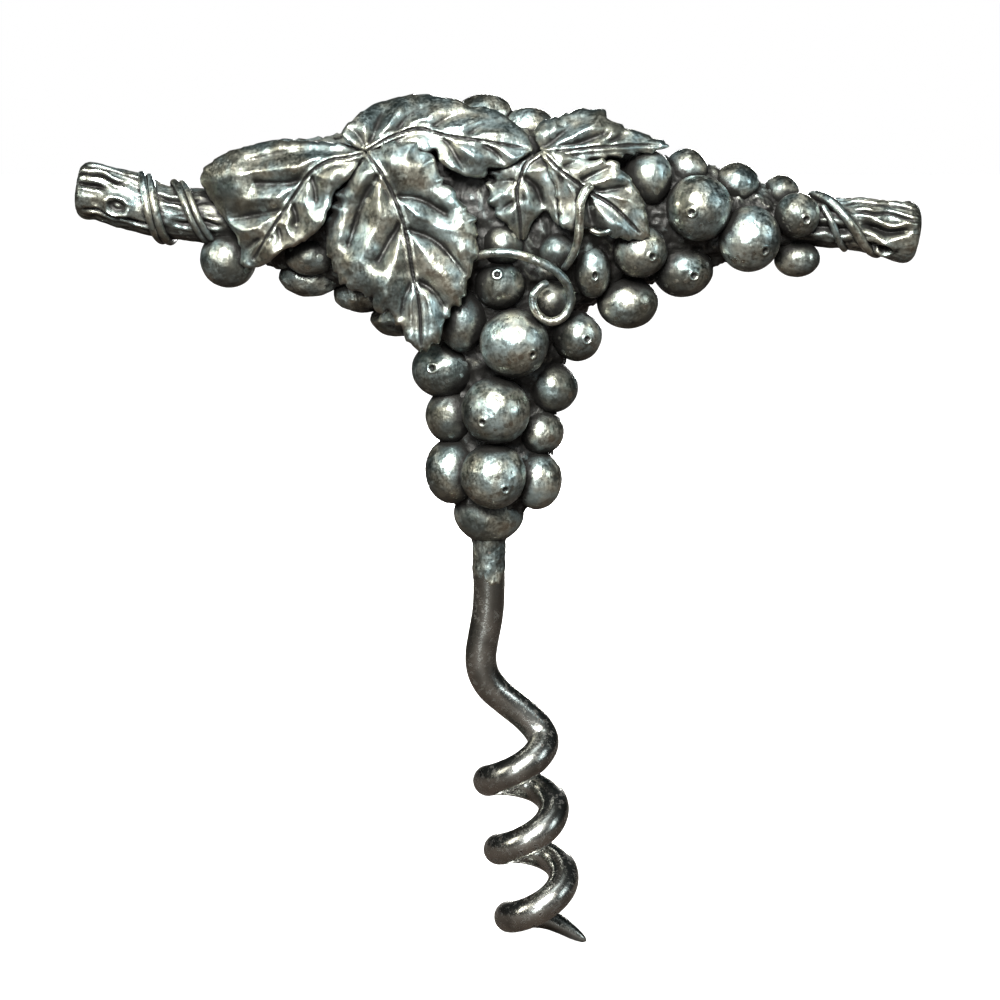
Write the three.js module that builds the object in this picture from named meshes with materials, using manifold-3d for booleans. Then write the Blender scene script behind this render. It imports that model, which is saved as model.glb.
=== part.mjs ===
// A direct-pull T corkscrew. The handle is a casting shaped as a length of vine with two leaves,
// tendrils and a bunch of grapes that narrows to a neck, where one bent steel wire is let in.
//
// Places are drawn from the neck, the point where the wire leaves the lowest grape: X runs to the
// right along the handle, Y towards the back and Z up. The finished group is then moved so that its
// origin is the worm's point. Lengths are in millimetres.
import * as THREE from "three";
import { mergeVertices } from "three/addons/utils/BufferGeometryUtils.js";
import Module from "manifold-3d";

// ---- Driving dimensions: each can be changed by itself ----
const handleSpan = 107; // from one sawn branch end to the other
const handleHeight = 58; // from the neck up to the rim of the leaves
const handleDepth = 24; // from the boldest grape to the grapes at the back
const branchDiameter = 7.2;
const grapeDiameter = 8.6; // of the boldest grape; the others are drawn as parts of it
const leafThickness = 3.4; // at the stalk, down to the surface that the leaf lies on
const leafEdge = 1.3; // thickness of a leaf's rim
const coilTendrilDiameter = 1.4; // the two tendrils that bind the branch
const curlTendrilDiameter = 1.0; // the fine tendrils in front of the bunch
const wireDiameter = 4.0;
const coilDiameter = 11.8; // outside of the worm
const wormPitch = 10;
const wormTurns = 2.8;
const pointLength = 5.2; // the straight length that leaves the last turn
const pointDrop = 1.5; // how much further down than the turn's own slope the point is drawn
const shankLength = 26.6; // from the neck down to where the coil's axis starts
const tangDiameter = 3.2; // the end of the wire that is cast into the handle
const tangLength = 14;
const taperLength = 11; // over which the wire narrows to its point
const tipRadius = 0.25;
const sleeveLength = 5.05; // down from the neck
const sleeveRise = 1.2; // up from the neck, into the lowest grape
const sleeveWall = 0.45;
const sleeveBevel = 0.1;
const sleeveBevelHeight = 0.6;
const sleeveClear = 0.35; // bare tang left under the sleeve, before the wire thickens
const pieceGap = 0.2; // left between neighbouring pieces of the casting

// How finely each kind of surface is divided: rows along it and sides around it.
const wormMesh = { rows: 84, sides: 10 };
const branchMesh = { rows: 12, sides: 14 };
const leftWindingMesh = { rows: 30, sides: 8 };
const rightWindingMesh = { rows: 24, sides: 8 };
const curlMesh = { rows: 36, sides: 8 };
const leafStemMesh = { rows: 12, sides: 8 };
const sleeveSides = 20;
const bunchSides = 18;
const columnSides = 16;

// ---- The drawing's own proportions ----
const drawnSpan = 107;
const drawnHeight = 58;
const drawnDepth = 24;
const drawnGrape = 8.6;
const stretchX = handleSpan / drawnSpan;
const stretchY = handleDepth / drawnDepth;
const stretchZ = handleHeight / drawnHeight;
const grapeScale = grapeDiameter / drawnGrape;

// A place in the casting, moved out with the handle's overall sizes.
const at = (x, y, z) => new THREE.Vector3(x * stretchX, y * stretchY, z * stretchZ);

const wasm = await Module();
wasm.setup();

// ---- Closed surfaces ----

// A closed solid from points and the triples of indices that face outwards.
function solidFrom(points, faces) {
  const position = new Float32Array(points.flatMap((p) => [p.x, p.y, p.z]));
  return new wasm.Manifold(
    new wasm.Mesh({ numProp: 3, vertProperties: position, triVerts: new Uint32Array(faces.flat()) }),
  );
}

// A solid from one of three.js's closed geometries.
function solidOf(geometry) {
  geometry.deleteAttribute("normal");
  geometry.deleteAttribute("uv");
  const merged = mergeVertices(geometry, 1e-4);
  return new wasm.Manifold(
    new wasm.Mesh({
      numProp: 3,
      vertProperties: merged.attributes.position.array,
      triVerts: new Uint32Array(merged.index.array),
    }),
  );
}

const middleOf = (points) =>
  points.reduce((sum, p) => sum.add(p), new THREE.Vector3()).divideScalar(points.length);

// Skins a row of rings, each wound anticlockwise about the way forward, and closes both ends flat.
function loft(rings) {
  const sides = rings[0].length;
  const points = rings.flat();
  const start = points.push(middleOf(rings[0])) - 1;
  const end = points.push(middleOf(rings.at(-1))) - 1;
  const faces = [];
  for (let i = 0; i < sides; i++) {
    const next = (i + 1) % sides;
    for (let r = 0; r + 1 < rings.length; r++) {
      const near = r * sides;
      const far = near + sides;
      faces.push([near + i, near + next, far + i], [near + next, far + next, far + i]);
    }
    const lastRing = (rings.length - 1) * sides;
    faces.push([start, next, i], [end, lastRing + i, lastRing + next]);
  }
  return solidFrom(points, faces);
}

const turnOf = (i, sides) => (i / sides) * 2 * Math.PI;

// A round bar along a curve; radiusAt takes the share of the way along.
function bar(curve, radiusAt, { rows, sides }) {
  const frames = curve.computeFrenetFrames(rows);
  const rings = [];
  for (let s = 0; s <= rows; s++) {
    const centre = curve.getPointAt(s / rows);
    const radius = radiusAt(s / rows);
    rings.push(
      Array.from({ length: sides }, (_, i) =>
        centre
          .clone()
          .addScaledVector(frames.normals[s], radius * Math.cos(turnOf(i, sides)))
          .addScaledVector(frames.binormals[s], radius * Math.sin(turnOf(i, sides))),
      ),
    );
  }
  return loft(rings);
}

const smooth = (points) => new THREE.CatmullRomCurve3(points, false, "centripetal");

// ---- Worm: one wire with its tang, shank, coil and point ----
const wireRadius = wireDiameter / 2;
const coilRadius = coilDiameter / 2 - wireRadius;
const coilTop = new THREE.Vector3(3.2, 0.3, -shankLength); // where the coil's axis starts
const coilDown = new THREE.Vector3(0.141, 0.097, -1).normalize(); // the coil leans right and back
const coilRight = new THREE.Vector3(1, 0, 0).addScaledVector(coilDown, -coilDown.x).normalize();
const coilFront = new THREE.Vector3().crossVectors(coilRight, coilDown).negate();
if (coilFront.y > 0) coilFront.negate();

// The wire's centre line after so many turns, counted from its first place furthest right.
const coilPoint = (turns) =>
  coilTop
    .clone()
    .addScaledVector(coilDown, turns * wormPitch)
    .addScaledVector(coilRight, coilRadius * Math.cos(turns * 2 * Math.PI))
    .addScaledVector(coilFront, coilRadius * Math.sin(turns * 2 * Math.PI));

const coilEnd = coilPoint(wormTurns);
const wayOut = coilEnd.clone().sub(coilPoint(wormTurns - 0.01)).normalize();
const wormTip = coilEnd.clone().addScaledVector(wayOut, pointLength);
wormTip.z -= pointDrop;

function wormCurve() {
  const stepsPerTurn = 14;
  const shank = [
    [0, 0, tangLength],
    [0, 0, tangLength / 2],
    [0, 0, 0],
    [0, 0, -0.2 * shankLength],
    [-0.1, 0, -0.33 * shankLength],
    [-0.8, 0, -0.47 * shankLength],
    [-1.2, 0, -0.59 * shankLength],
    [-0.4, 0.2, -0.69 * shankLength],
    [1.9, 0.8, -0.78 * shankLength],
    [4.6, 0.9, -0.86 * shankLength],
  ].map(([x, y, z]) => new THREE.Vector3(x, y, z));
  const coil = Array.from({ length: Math.round(wormTurns * stepsPerTurn) + 1 }, (_, i) =>
    coilPoint((i / Math.round(wormTurns * stepsPerTurn)) * wormTurns),
  );
  const point = [0.35, 0.7, 1].map((share) => coilEnd.clone().lerp(wormTip, share));
  return smooth([...shank, ...coil, ...point]);
}

function worm(grow) {
  const curve = wormCurve();
  const length = curve.getLength();
  const tangShare = (tangLength + sleeveLength + sleeveClear) / length;
  const taper = taperLength / length;
  const radiusAt = (share) => {
    if (share < tangShare) return tangDiameter / 2 + grow;
    const left = Math.min(1, (1 - share) / taper);
    return tipRadius + (wireRadius - tipRadius) * Math.sqrt(left) + grow;
  };
  return bar(curve, radiusAt, wormMesh);
}

// ---- Neck sleeve: the metal that runs a little way down the wire ----
function neckSleeve(grow) {
  const inner = tangDiameter / 2 + pieceGap - grow;
  const outer = tangDiameter / 2 + pieceGap + sleeveWall + grow;
  const low = -sleeveLength - grow;
  const high = sleeveRise + grow;
  const profile = [
    [inner, low],
    [outer - sleeveBevel, low],
    [outer, low + sleeveBevelHeight],
    [outer, high],
    [inner, high],
    [inner, low],
  ].map(([r, z]) => new THREE.Vector2(r, z));
  return solidOf(new THREE.LatheGeometry(profile, sleeveSides).rotateX(Math.PI / 2));
}

// ---- Vine: the branch ends and the mass that carries the bunch ----
const branchRadius = branchDiameter / 2;

// Each branch end as [x, y, z, girth against the branch's diameter], from the sawn end inwards.
const leftBranchLine = [
  [-52, -1, 46.4, 0.94],
  [-49, -1, 45.8, 0.98],
  [-46, -1, 44.7, 1.04],
  [-42, -1, 43.4, 0.98],
  [-38, -1, 42.9, 0.95],
  [-33, -1, 42.6, 0.9],
];
const rightBranchLine = [
  [55, -1, 40.5, 0.84],
  [53.4, -1, 40.6, 1.05],
  [50, -1, 41.2, 1],
  [46, -1, 41.7, 0.92],
  [42, -1, 41.9, 0.89],
  [38, -1, 42.2, 0.85],
];

function branch(line, grow) {
  const curve = smooth(line.map(([x, y, z]) => at(x, y, z)));
  const girths = line.map((station) => station[3]);
  const radiusAt = (share) => {
    const place = share * (girths.length - 1);
    const lower = Math.min(girths.length - 2, Math.floor(place));
    const girth = THREE.MathUtils.lerp(girths[lower], girths[lower + 1], place - lower);
    return branchRadius * girth + grow;
  };
  return bar(curve, radiusAt, branchMesh);
}

// The mass behind the leaves as [x, centre z, half height, half depth].
const bunchStations = [
  [-34, 43.2, 1.8, 2],
  [-29, 44, 5.2, 4.4],
  [-20, 44, 8.4, 6.2],
  [-9, 42.8, 11, 7.2],
  [1.5, 42.2, 11.6, 7.5],
  [9, 42.2, 10.4, 7.2],
  [19, 42.8, 7.2, 6.2],
  [29, 42.8, 4.9, 4.8],
  [38, 42, 2.6, 3],
  [42, 41.9, 1.2, 1.6],
];

function bunchCore(grow) {
  const sides = bunchSides;
  return loft(
    bunchStations.map(([x, z, halfHeight, halfDepth], station) => {
      const end = station === 0 ? -grow : station === bunchStations.length - 1 ? grow : 0;
      return Array.from({ length: sides }, (_, i) =>
        at(x, 0, z).add(
          new THREE.Vector3(
            end,
            (halfDepth * stretchY + grow) * Math.cos(turnOf(i, sides)),
            (halfHeight * stretchZ + grow) * Math.sin(turnOf(i, sides)),
          ),
        ),
      );
    }),
  );
}

// The narrowing part of the bunch as [x, z, half width, half depth], from the neck up.
const columnStations = [
  [0, 2.2, 2.4, 2.4],
  [0.4, 5, 3.4, 3],
  [1.1, 11.3, 5.2, 3.8],
  [1.4, 19, 6, 4.4],
  [1.7, 27, 7.2, 5.2],
  [1.4, 34, 8, 6],
];

function columnCore(grow) {
  const sides = columnSides;
  return loft(
    columnStations.map(([x, z, halfWidth, halfDepth], station) => {
      const end = station === 0 ? -grow : station === columnStations.length - 1 ? grow : 0;
      return Array.from({ length: sides }, (_, i) =>
        at(x, 0, z).add(
          new THREE.Vector3(
            (halfWidth * stretchX + grow) * Math.cos(turnOf(i, sides)),
            (halfDepth * stretchY + grow) * Math.sin(turnOf(i, sides)),
            end,
          ),
        ),
      );
    }),
  );
}

// ---- Leaves: draped over the bunch, thick at the stalk and thin at the rim ----
const past = (value, limit, reach) => Math.max(0, (value - limit) / reach);

// How far forward a leaf's face lies at a place on the front of the handle.
const largeLeafFace = (x, z) =>
  -10 + 6 * past(z, 49, 9) ** 2 + 5 * past(-x, 18, 17) ** 1.5 + 1.5 * past(-z, -34, 10) ** 2;
const smallLeafFace = (x, z) => -9.3 + 5 * past(z, 50, 7) ** 2 + 3.5 * past(x, 12, 12) ** 2;
const backLeafFace = (x, z) => -9 + 6 * past(z, 49, 9) ** 2 + 5 * past(x, 4, 17) ** 1.5;

const largeLeafStalk = [-14.9, 51];
const largeLeafOutline = [
  [-19.7, 52], [-23.4, 52.2], [-26.7, 52.4], [-29.6, 51.6], [-34, 49.9], [-35.5, 48.7],
  [-35.4, 46.8], [-33.8, 43.1], [-32.1, 39.4], [-30.9, 37], [-28.9, 36.9], [-26.6, 37.8],
  [-24.6, 38.9], [-22.8, 40.3], [-21.3, 41.4], [-20.7, 40.5], [-20, 38.2], [-18.6, 36.3],
  [-17.3, 34.3], [-14.7, 32.5], [-12.4, 30.9], [-10.2, 29], [-8.4, 26.4], [-6.9, 27],
  [-6, 29], [-5.3, 30.6], [-3.4, 31.5], [-2.4, 33.8], [-1.4, 36.3], [-1.2, 38.8],
  [-1, 41.5], [-2.1, 43.1], [-3.8, 44.7], [-4.8, 46.2], [-4.1, 47.2], [-2.3, 47.7],
  [0.2, 48.3], [2.6, 49.3], [5.5, 51], [4.9, 53], [3.3, 55.4], [0.2, 56.8],
  [-3.9, 57.4], [-8.2, 58], [-11.6, 57.1], [-13.9, 56.8], [-16.3, 55.5], [-18.4, 53.2],
];
const smallLeafStalk = [6.5, 51.1];
const smallLeafOutline = [
  [3.9, 51.4], [2, 49.3], [0, 47.7], [-0.2, 45], [0.8, 44], [2, 42.3],
  [4.1, 39.8], [5.3, 41.6], [6.2, 42.7], [7.1, 43.6], [8.5, 42.3], [10.4, 41.5],
  [12.3, 41.6], [14.6, 40.3], [17.5, 40.2], [19.9, 40.6], [19.4, 44.7], [17.8, 47.6],
  [16, 49.7], [17.7, 50.6], [20.6, 50.8], [22.2, 51.7], [19.9, 52.8], [16.8, 53.7],
  [14.5, 55.4], [12.5, 56.3], [10.3, 56], [8.4, 55.2], [6.9, 55.2], [5.5, 54.5],
];
const backLeafStalk = [8, 50];
const backLeafOutline = [
  [12, 54.5], [5, 56.5], [-2, 55.5], [-9, 56], [-15, 54], [-21, 49], [-18, 44.5],
  [-13, 44], [-14, 38], [-10, 33.5], [-4, 35], [-1.5, 30.5], [3, 33], [6, 37],
  [11, 35.5], [13.5, 39.5], [18, 41], [21, 46], [18, 50.5],
];

// The outline runs anticlockwise as seen from the front; side is 1 for a leaf on the front of the
// handle and -1 for one on the back, drawn as if seen from the front too.
function leaf(outline, stalk, face, side, grow) {
  const middle = new THREE.Vector2(...stalk);
  const rim = outline.map(([x, z]) => {
    const out = new THREE.Vector2(x, z).sub(middle);
    return out.setLength(out.length() + grow).add(middle);
  });
  const half = rim.map((p) => p.clone().lerp(middle, 0.5));
  const placed = (p, depth) => at(p.x, 0, p.y).setY(side * (face(p.x, p.y) * stretchY + depth));
  const front = -grow;
  const back = (thickness) => thickness + grow;
  const halfThickness = (leafEdge + leafThickness) / 2;
  const points = [
    ...rim.map((p) => placed(p, front)),
    ...half.map((p) => placed(p, front)),
    ...half.map((p) => placed(p, back(halfThickness))),
    ...rim.map((p) => placed(p, back(leafEdge))),
    placed(middle, front),
    placed(middle, back(leafThickness)),
  ];
  const faces = leafFaces(rim.length);
  return solidFrom(points, side > 0 ? faces : faces.map((corners) => corners.reverse()));
}

// The leaf's faces: the rim and half rings of the front, then those of the back, then the wall.
function leafFaces(count) {
  const rim = 0;
  const half = count;
  const backHalf = 2 * count;
  const backRim = 3 * count;
  const middle = 4 * count;
  const backMiddle = middle + 1;
  const faces = [];
  for (let i = 0; i < count; i++) {
    const next = (i + 1) % count;
    faces.push([half + i, rim + i, rim + next], [half + i, rim + next, half + next]);
    faces.push([middle, half + i, half + next]);
    faces.push([backRim + i, backHalf + i, backHalf + next]);
    faces.push([backRim + i, backHalf + next, backRim + next]);
    faces.push([backMiddle, backHalf + next, backHalf + i]);
    faces.push([rim + i, backRim + i, backRim + next], [rim + i, backRim + next, rim + next]);
  }
  return faces;
}

// ---- Tendrils ----

// A tendril wound about a stretch of branch, going down in front as it runs to the right.
function windingLine(line, fromX, toX, turns, startTurn, clear) {
  const curve = smooth(line.map(([x, y, z]) => at(x, y, z)));
  const steps = Math.round(turns * 12);
  return Array.from({ length: steps + 1 }, (_, i) => {
    const x = THREE.MathUtils.lerp(fromX, toX, i / steps);
    const share = (x - line[0][0]) / (line.at(-1)[0] - line[0][0]);
    const centre = curve.getPointAt(THREE.MathUtils.clamp(share, 0, 1));
    const turn = (startTurn + (i / steps) * turns) * 2 * Math.PI;
    return centre.add(new THREE.Vector3(0, -clear * Math.sin(turn), clear * Math.cos(turn)));
  });
}

const coilTendrilRadius = coilTendrilDiameter / 2;
const curlTendrilRadius = curlTendrilDiameter / 2;
const leftWindingClear = branchRadius * 1.02 + pieceGap + coilTendrilRadius;
const rightWindingClear = branchRadius * 0.98 + pieceGap + curlTendrilRadius;
const leftWinding = windingLine(leftBranchLine, -42.2, -34.6, 1.75, -0.05, leftWindingClear);
const rightWinding = windingLine(rightBranchLine, 41, 48, 1.2, -0.1, rightWindingClear);
const curlLine = [
  [-1.8, -9.9, 38], [0.2, -10.7, 38.7], [2.9, -11, 38.7], [5.8, -10.8, 37.8], [8.3, -10.4, 36.5],
  [9.8, -10, 34.7], [10.2, -9.6, 32.6], [9.2, -9.7, 30.7], [7.5, -9.9, 30.2], [5.9, -9.9, 31.4],
  [5.5, -10, 33.2], [6.4, -10, 34.5], [7.3, -9.8, 34.7],
].map((p) => at(...p));
const leafStemLine = [
  [11.9, -10.4, 46.3], [11.3, -10.9, 44.8], [11.2, -10.8, 42.5], [11, -10.5, 40.3],
  [10.3, -10, 38.2], [9.6, -9.4, 37],
].map((p) => at(...p));

const tendrilThinning = 0.35; // how much thinner a tendril is at its far end
const tendril = (points, radius, mesh) => (grow) =>
  bar(smooth(points), (share) => radius * (1 - tendrilThinning * share ** 3) + grow, mesh);

// ---- Grapes as [x, y, z, radius], each group from the neck or the middle outwards ----
const grapes = {
  column_grape: [
    [0, 0, 4.4, 4.2], [0.6, -5.5, 10.1, 4.2], [0.9, -6.5, 18.6, 4.3], [3.2, -7.5, 27.3, 4.3],
    [-4.8, -1.8, 10.5, 3.6], [6.4, -1.8, 8.9, 3.2], [-5, -1.8, 17.3, 3.1], [7.2, -1.8, 15.1, 2.5],
    [-6.1, -2, 23.4, 3.8], [8.4, -1.8, 21, 3],
  ],
  middle_grape: [
    [-3.3, -5, 29.9, 3.7], [1.4, -6, 34.5, 3.3], [7.9, -6.3, 32.5, 2.5], [8.6, -6.8, 38.6, 2.4],
    [1.8, -6.5, 39.5, 2.7],
  ],
  right_grape: [
    [11.2, -3, 27.7, 3.2], [13, -5, 36.2, 3], [17.5, -3, 32.1, 3.5], [18.9, -5.5, 38.7, 3.4],
    [19.9, -5, 47.7, 3.1], [24.7, -2, 36, 3.6], [26.2, -6, 44, 4.1], [24.9, -1.5, 48.4, 2.8],
    [32.7, -5, 40.1, 3.9], [31.2, -1.5, 46.7, 2.8], [38.7, -4, 43, 2.8], [37, -0.5, 45.7, 2.2],
    [39.2, -1, 37.4, 2.4],
  ],
  left_grape: [
    [-12, 1, 29.5, 2.8], [-16.3, 1, 32.7, 2.8], [-22.8, -0.5, 35.1, 3.2], [-22.4, -3.5, 38, 2.8],
    [-33.1, -1.5, 37.3, 3.6],
  ],
  top_grape: [
    [0, 2, 55, 2.8], [5, 1.5, 53.5, 2.4],
  ],
  back_grape: [
    [0.3, 4.5, 9.9, 4.1], [0.1, 5.5, 18.4, 4.2], [1.4, 6.5, 27.5, 4.3], [-6.4, 5, 31.6, 3.9],
    [9.2, 5, 31.6, 3.9], [17, 5.5, 39.5, 4.2], [25.3, 4.5, 43.9, 3.9], [33, 3.5, 42, 3.5],
  ],
};

const boldRadius = 3.95; // grapes above this are given rounder meshes

// A grape keeps touching its neighbours when the handle is stretched, so it is stretched with it.
const grape = (x, y, z, radius) => (grow) => {
  const centre = at(x, y, z);
  const ball = new THREE.IcosahedronGeometry(1, radius > boldRadius ? 2 : 1);
  const halfSizes = [stretchX, stretchY, stretchZ].map((stretch) => radius * grapeScale * stretch + grow);
  return solidOf(ball.scale(...halfSizes).translate(centre.x, centre.y, centre.z));
};

// ---- Assembly: each piece keeps its shape where it meets the ones after it ----
const pewter = new THREE.MeshStandardMaterial({ color: 0x6e706c, roughness: 0.38, metalness: 1 });
const darkPewter = new THREE.MeshStandardMaterial({ color: 0x3d3d3a, roughness: 0.5, metalness: 1 });
const steel = new THREE.MeshStandardMaterial({ color: 0x74726c, roughness: 0.3, metalness: 1 });

const pieces = [
  { name: "worm", make: worm, material: steel },
  { name: "neck_sleeve", make: neckSleeve, material: pewter },
  { name: "left_branch", make: (grow) => branch(leftBranchLine, grow), material: pewter },
  { name: "right_branch", make: (grow) => branch(rightBranchLine, grow), material: pewter },
  { name: "bunch_core", make: bunchCore, material: darkPewter },
  { name: "column_core", make: columnCore, material: darkPewter },
  { name: "left_winding", make: tendril(leftWinding, coilTendrilRadius, leftWindingMesh), material: pewter },
  {
    name: "right_winding",
    make: tendril(rightWinding, curlTendrilRadius, rightWindingMesh),
    material: pewter,
  },
  { name: "curl_tendril", make: tendril(curlLine, curlTendrilRadius, curlMesh), material: pewter },
  { name: "leaf_stem", make: tendril(leafStemLine, curlTendrilRadius, leafStemMesh), material: pewter },
  {
    name: "large_leaf",
    make: (grow) => leaf(largeLeafOutline, largeLeafStalk, largeLeafFace, 1, grow),
    material: pewter,
  },
  {
    name: "small_leaf",
    make: (grow) => leaf(smallLeafOutline, smallLeafStalk, smallLeafFace, 1, grow),
    material: pewter,
  },
  {
    name: "back_leaf",
    make: (grow) => leaf(backLeafOutline, backLeafStalk, backLeafFace, -1, grow),
    material: pewter,
  },
  ...Object.entries(grapes).flatMap(([group, places]) =>
    places.map((place, i) => ({ name: `${group}_${i + 1}`, make: grape(...place), material: pewter })),
  ),
];

function boxesMeet(a, b) {
  return [0, 1, 2].every((i) => a.min[i] <= b.max[i] && b.min[i] <= a.max[i]);
}

const largestOf = (solid) =>
  solid.decompose().reduce((best, body) => (body.volume() > best.volume() ? body : best));

// Cuts from a piece everything that the pieces before it take up, with the gap around them.
function fitted(piece, earlier) {
  const whole = piece.make(0);
  const cut = earlier
    .filter((other) => boxesMeet(other.box, whole.boundingBox()))
    .reduce((left, other) => left.subtract(other.grown), whole);
  return largestOf(cut);
}

function meshOf(solid, name, material) {
  const { vertProperties, triVerts } = solid.getMesh();
  const geometry = new THREE.BufferGeometry()
    .setAttribute("position", new THREE.BufferAttribute(new Float32Array(vertProperties), 3))
    .setIndex(new THREE.BufferAttribute(new Uint32Array(triVerts), 1));
  geometry.computeVertexNormals();
  const mesh = new THREE.Mesh(geometry, material);
  mesh.name = name;
  return mesh;
}

const corkscrew = new THREE.Group();
const fromNeck = new THREE.Group();
fromNeck.position.copy(wormTip).negate();
corkscrew.add(fromNeck);

const earlier = [];
for (const piece of pieces) {
  fromNeck.add(meshOf(fitted(piece, earlier), piece.name, piece.material));
  const grown = piece.make(pieceGap);
  earlier.push({ grown, box: grown.boundingBox() });
}

export default corkscrew;
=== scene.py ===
import math
import bpy
import numpy as np
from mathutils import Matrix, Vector, noise
from mathutils.geometry import delaunay_2d_cdt


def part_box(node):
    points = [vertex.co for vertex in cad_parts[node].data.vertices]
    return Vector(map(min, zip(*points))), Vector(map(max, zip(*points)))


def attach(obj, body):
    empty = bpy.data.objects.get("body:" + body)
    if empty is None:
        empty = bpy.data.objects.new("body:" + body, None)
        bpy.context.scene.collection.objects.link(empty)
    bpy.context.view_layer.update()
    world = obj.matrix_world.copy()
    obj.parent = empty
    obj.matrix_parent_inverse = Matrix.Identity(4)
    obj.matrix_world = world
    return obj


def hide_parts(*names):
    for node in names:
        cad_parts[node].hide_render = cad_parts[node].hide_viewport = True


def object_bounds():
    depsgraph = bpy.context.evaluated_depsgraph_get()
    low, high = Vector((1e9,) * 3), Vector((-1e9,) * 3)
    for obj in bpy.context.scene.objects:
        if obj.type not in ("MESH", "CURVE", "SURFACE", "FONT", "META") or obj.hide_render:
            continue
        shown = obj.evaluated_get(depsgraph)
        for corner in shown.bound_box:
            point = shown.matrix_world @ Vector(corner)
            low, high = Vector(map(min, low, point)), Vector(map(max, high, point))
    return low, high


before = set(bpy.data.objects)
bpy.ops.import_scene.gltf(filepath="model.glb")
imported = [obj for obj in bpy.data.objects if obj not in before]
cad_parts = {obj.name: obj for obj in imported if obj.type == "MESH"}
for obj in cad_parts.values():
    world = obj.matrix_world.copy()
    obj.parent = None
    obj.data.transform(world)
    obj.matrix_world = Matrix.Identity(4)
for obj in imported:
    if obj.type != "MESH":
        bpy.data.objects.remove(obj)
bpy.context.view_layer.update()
mm = 0.001

# Places are in millimetres from the neck, where the wire leaves the lowest grape: x to the right,
# y towards the back, z up. at() turns them into the frame's metres.
sleeveLow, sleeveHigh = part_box("neck_sleeve")
sleeveMiddle = (sleeveLow + sleeveHigh) / 2
sleeveDrop = 5.05  # from the neck down to the sleeve's lowest point
neck = Vector((sleeveMiddle.x, sleeveMiddle.y, sleeveLow.z + sleeveDrop * mm))


def at(x, y, z):
    return neck + Vector((x, y, z)) * mm


print("frame loaded, neck at", [round(v / mm, 2) for v in neck])

camera = {
    "distance": 300,  # from the middle of the view
    "elevation": 10,
    "lookAt": (1.43, 0, 6.0),
    "viewWidth": 130,  # how much of the object's plane the picture holds
}


def makeCamera():
    data = bpy.data.cameras.new("camera")
    data.sensor_width = 36
    data.lens = data.sensor_width * camera["distance"] / camera["viewWidth"]
    data.clip_start, data.clip_end = 0.01, 20
    obj = bpy.data.objects.new("camera", data)
    bpy.context.collection.objects.link(obj)
    tilt = math.radians(camera["elevation"])
    back = Vector((0, -math.cos(tilt), math.sin(tilt)))
    obj.location = at(*camera["lookAt"]) + back * camera["distance"] * mm
    obj.rotation_euler = (-back).to_track_quat("-Z", "Y").to_euler()
    bpy.context.scene.camera = obj


makeCamera()
print("camera placed")


# Small helpers for node trees


def addNode(tree, kind, **settings):
    node = tree.nodes.new(kind)
    for key, value in settings.items():
        if key in node.inputs:
            node.inputs[key].default_value = value
        else:
            setattr(node, key, value)
    return node


def join(tree, source, target):
    tree.links.new(source, target)


def mapRange(tree, value, fromLow, fromHigh, toLow=0.0, toHigh=1.0, smooth=False):
    node = tree.nodes.new("ShaderNodeMapRange")
    node.interpolation_type = "SMOOTHSTEP" if smooth else "LINEAR"
    for socket, number in zip(node.inputs[1:5], (fromLow, fromHigh, toLow, toHigh)):
        socket.default_value = number
    join(tree, value, node.inputs[0])
    return node.outputs[0]


def calc(tree, operation, first, second=None):
    node = tree.nodes.new("ShaderNodeMath")
    node.operation = operation
    for socket, value in zip(node.inputs, (first, second)):
        if isinstance(value, (int, float)):
            socket.default_value = value
        elif value is not None:
            join(tree, value, socket)
    return node.outputs[0]


def mixColor(tree, share, first, second, blend="MIX"):
    node = tree.nodes.new("ShaderNodeMix")
    node.data_type = "RGBA"
    node.blend_type = blend
    for socket, value in ((node.inputs[0], share), (node.inputs[6], first), (node.inputs[7], second)):
        if isinstance(value, (int, float)):
            socket.default_value = value
        elif isinstance(value, tuple):
            socket.default_value = (*value, 1)
        else:
            join(tree, value, socket)
    return node.outputs[2]


def startMaterial(name):
    # gives the tree, its shader, the place on the object and a function that adds noise there
    material = bpy.data.materials.new(name)
    material.use_nodes = True
    tree = material.node_tree
    place = tree.nodes.new("ShaderNodeTexCoord").outputs["Object"]

    def grain(scale, detail, roughness=0.55):
        node = addNode(tree, "ShaderNodeTexNoise", Scale=scale, Detail=detail, Roughness=roughness)
        join(tree, place, node.inputs["Vector"])
        return node.outputs["Fac"]

    return material, tree, tree.nodes["Principled BSDF"], place, grain


def closedness(tree, reach, samples):
    node = addNode(tree, "ShaderNodeAmbientOcclusion", Distance=reach * mm)
    node.samples = samples
    return node.outputs["AO"]


def addBump(tree, shader, strength, depth, layers):
    # layers are pairs of a height and its weight, added up in turn
    height = None
    for layer, weight in layers:
        part = calc(tree, "MULTIPLY", layer, weight)
        height = part if height is None else calc(tree, "ADD", height, part)
    bump = addNode(tree, "ShaderNodeBump", Strength=strength, Distance=depth * mm)
    join(tree, height, bump.inputs["Height"])
    join(tree, bump.outputs["Normal"], shader.inputs["Normal"])


pewterLook = {
    "worn": (0.56, 0.60, 0.585),  # rubbed crests
    "film": (0.074, 0.086, 0.084),  # grey-green film over most of the metal
    "patinaAndPaintedShade": (0.010, 0.0095, 0.0085),  # near-black patina in the hollows, also the painted shade on what faces down
    "coolTint": (0.46, 0.66, 0.70),
    "warmTint": (0.78, 0.66, 0.45),
    "hollowReach": 2.8,  # mm over which a hollow gathers patina
    "creviceReach": 0.7,
    "paintedUnderReflection": (0.115, 0.088, 0.058),  # painted reflection: a warm brown from below, mixed into the film on what faces down
    "paintedShadeBelow": 0.34,  # painted shade: extra darkening on what faces down, as if lit from above
    "mottle": 0.42,  # extra patina in small specks
    "roughWorn": 0.30,
    "roughFilm": 0.41,
    "roughPatina": 0.55,
}


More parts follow.
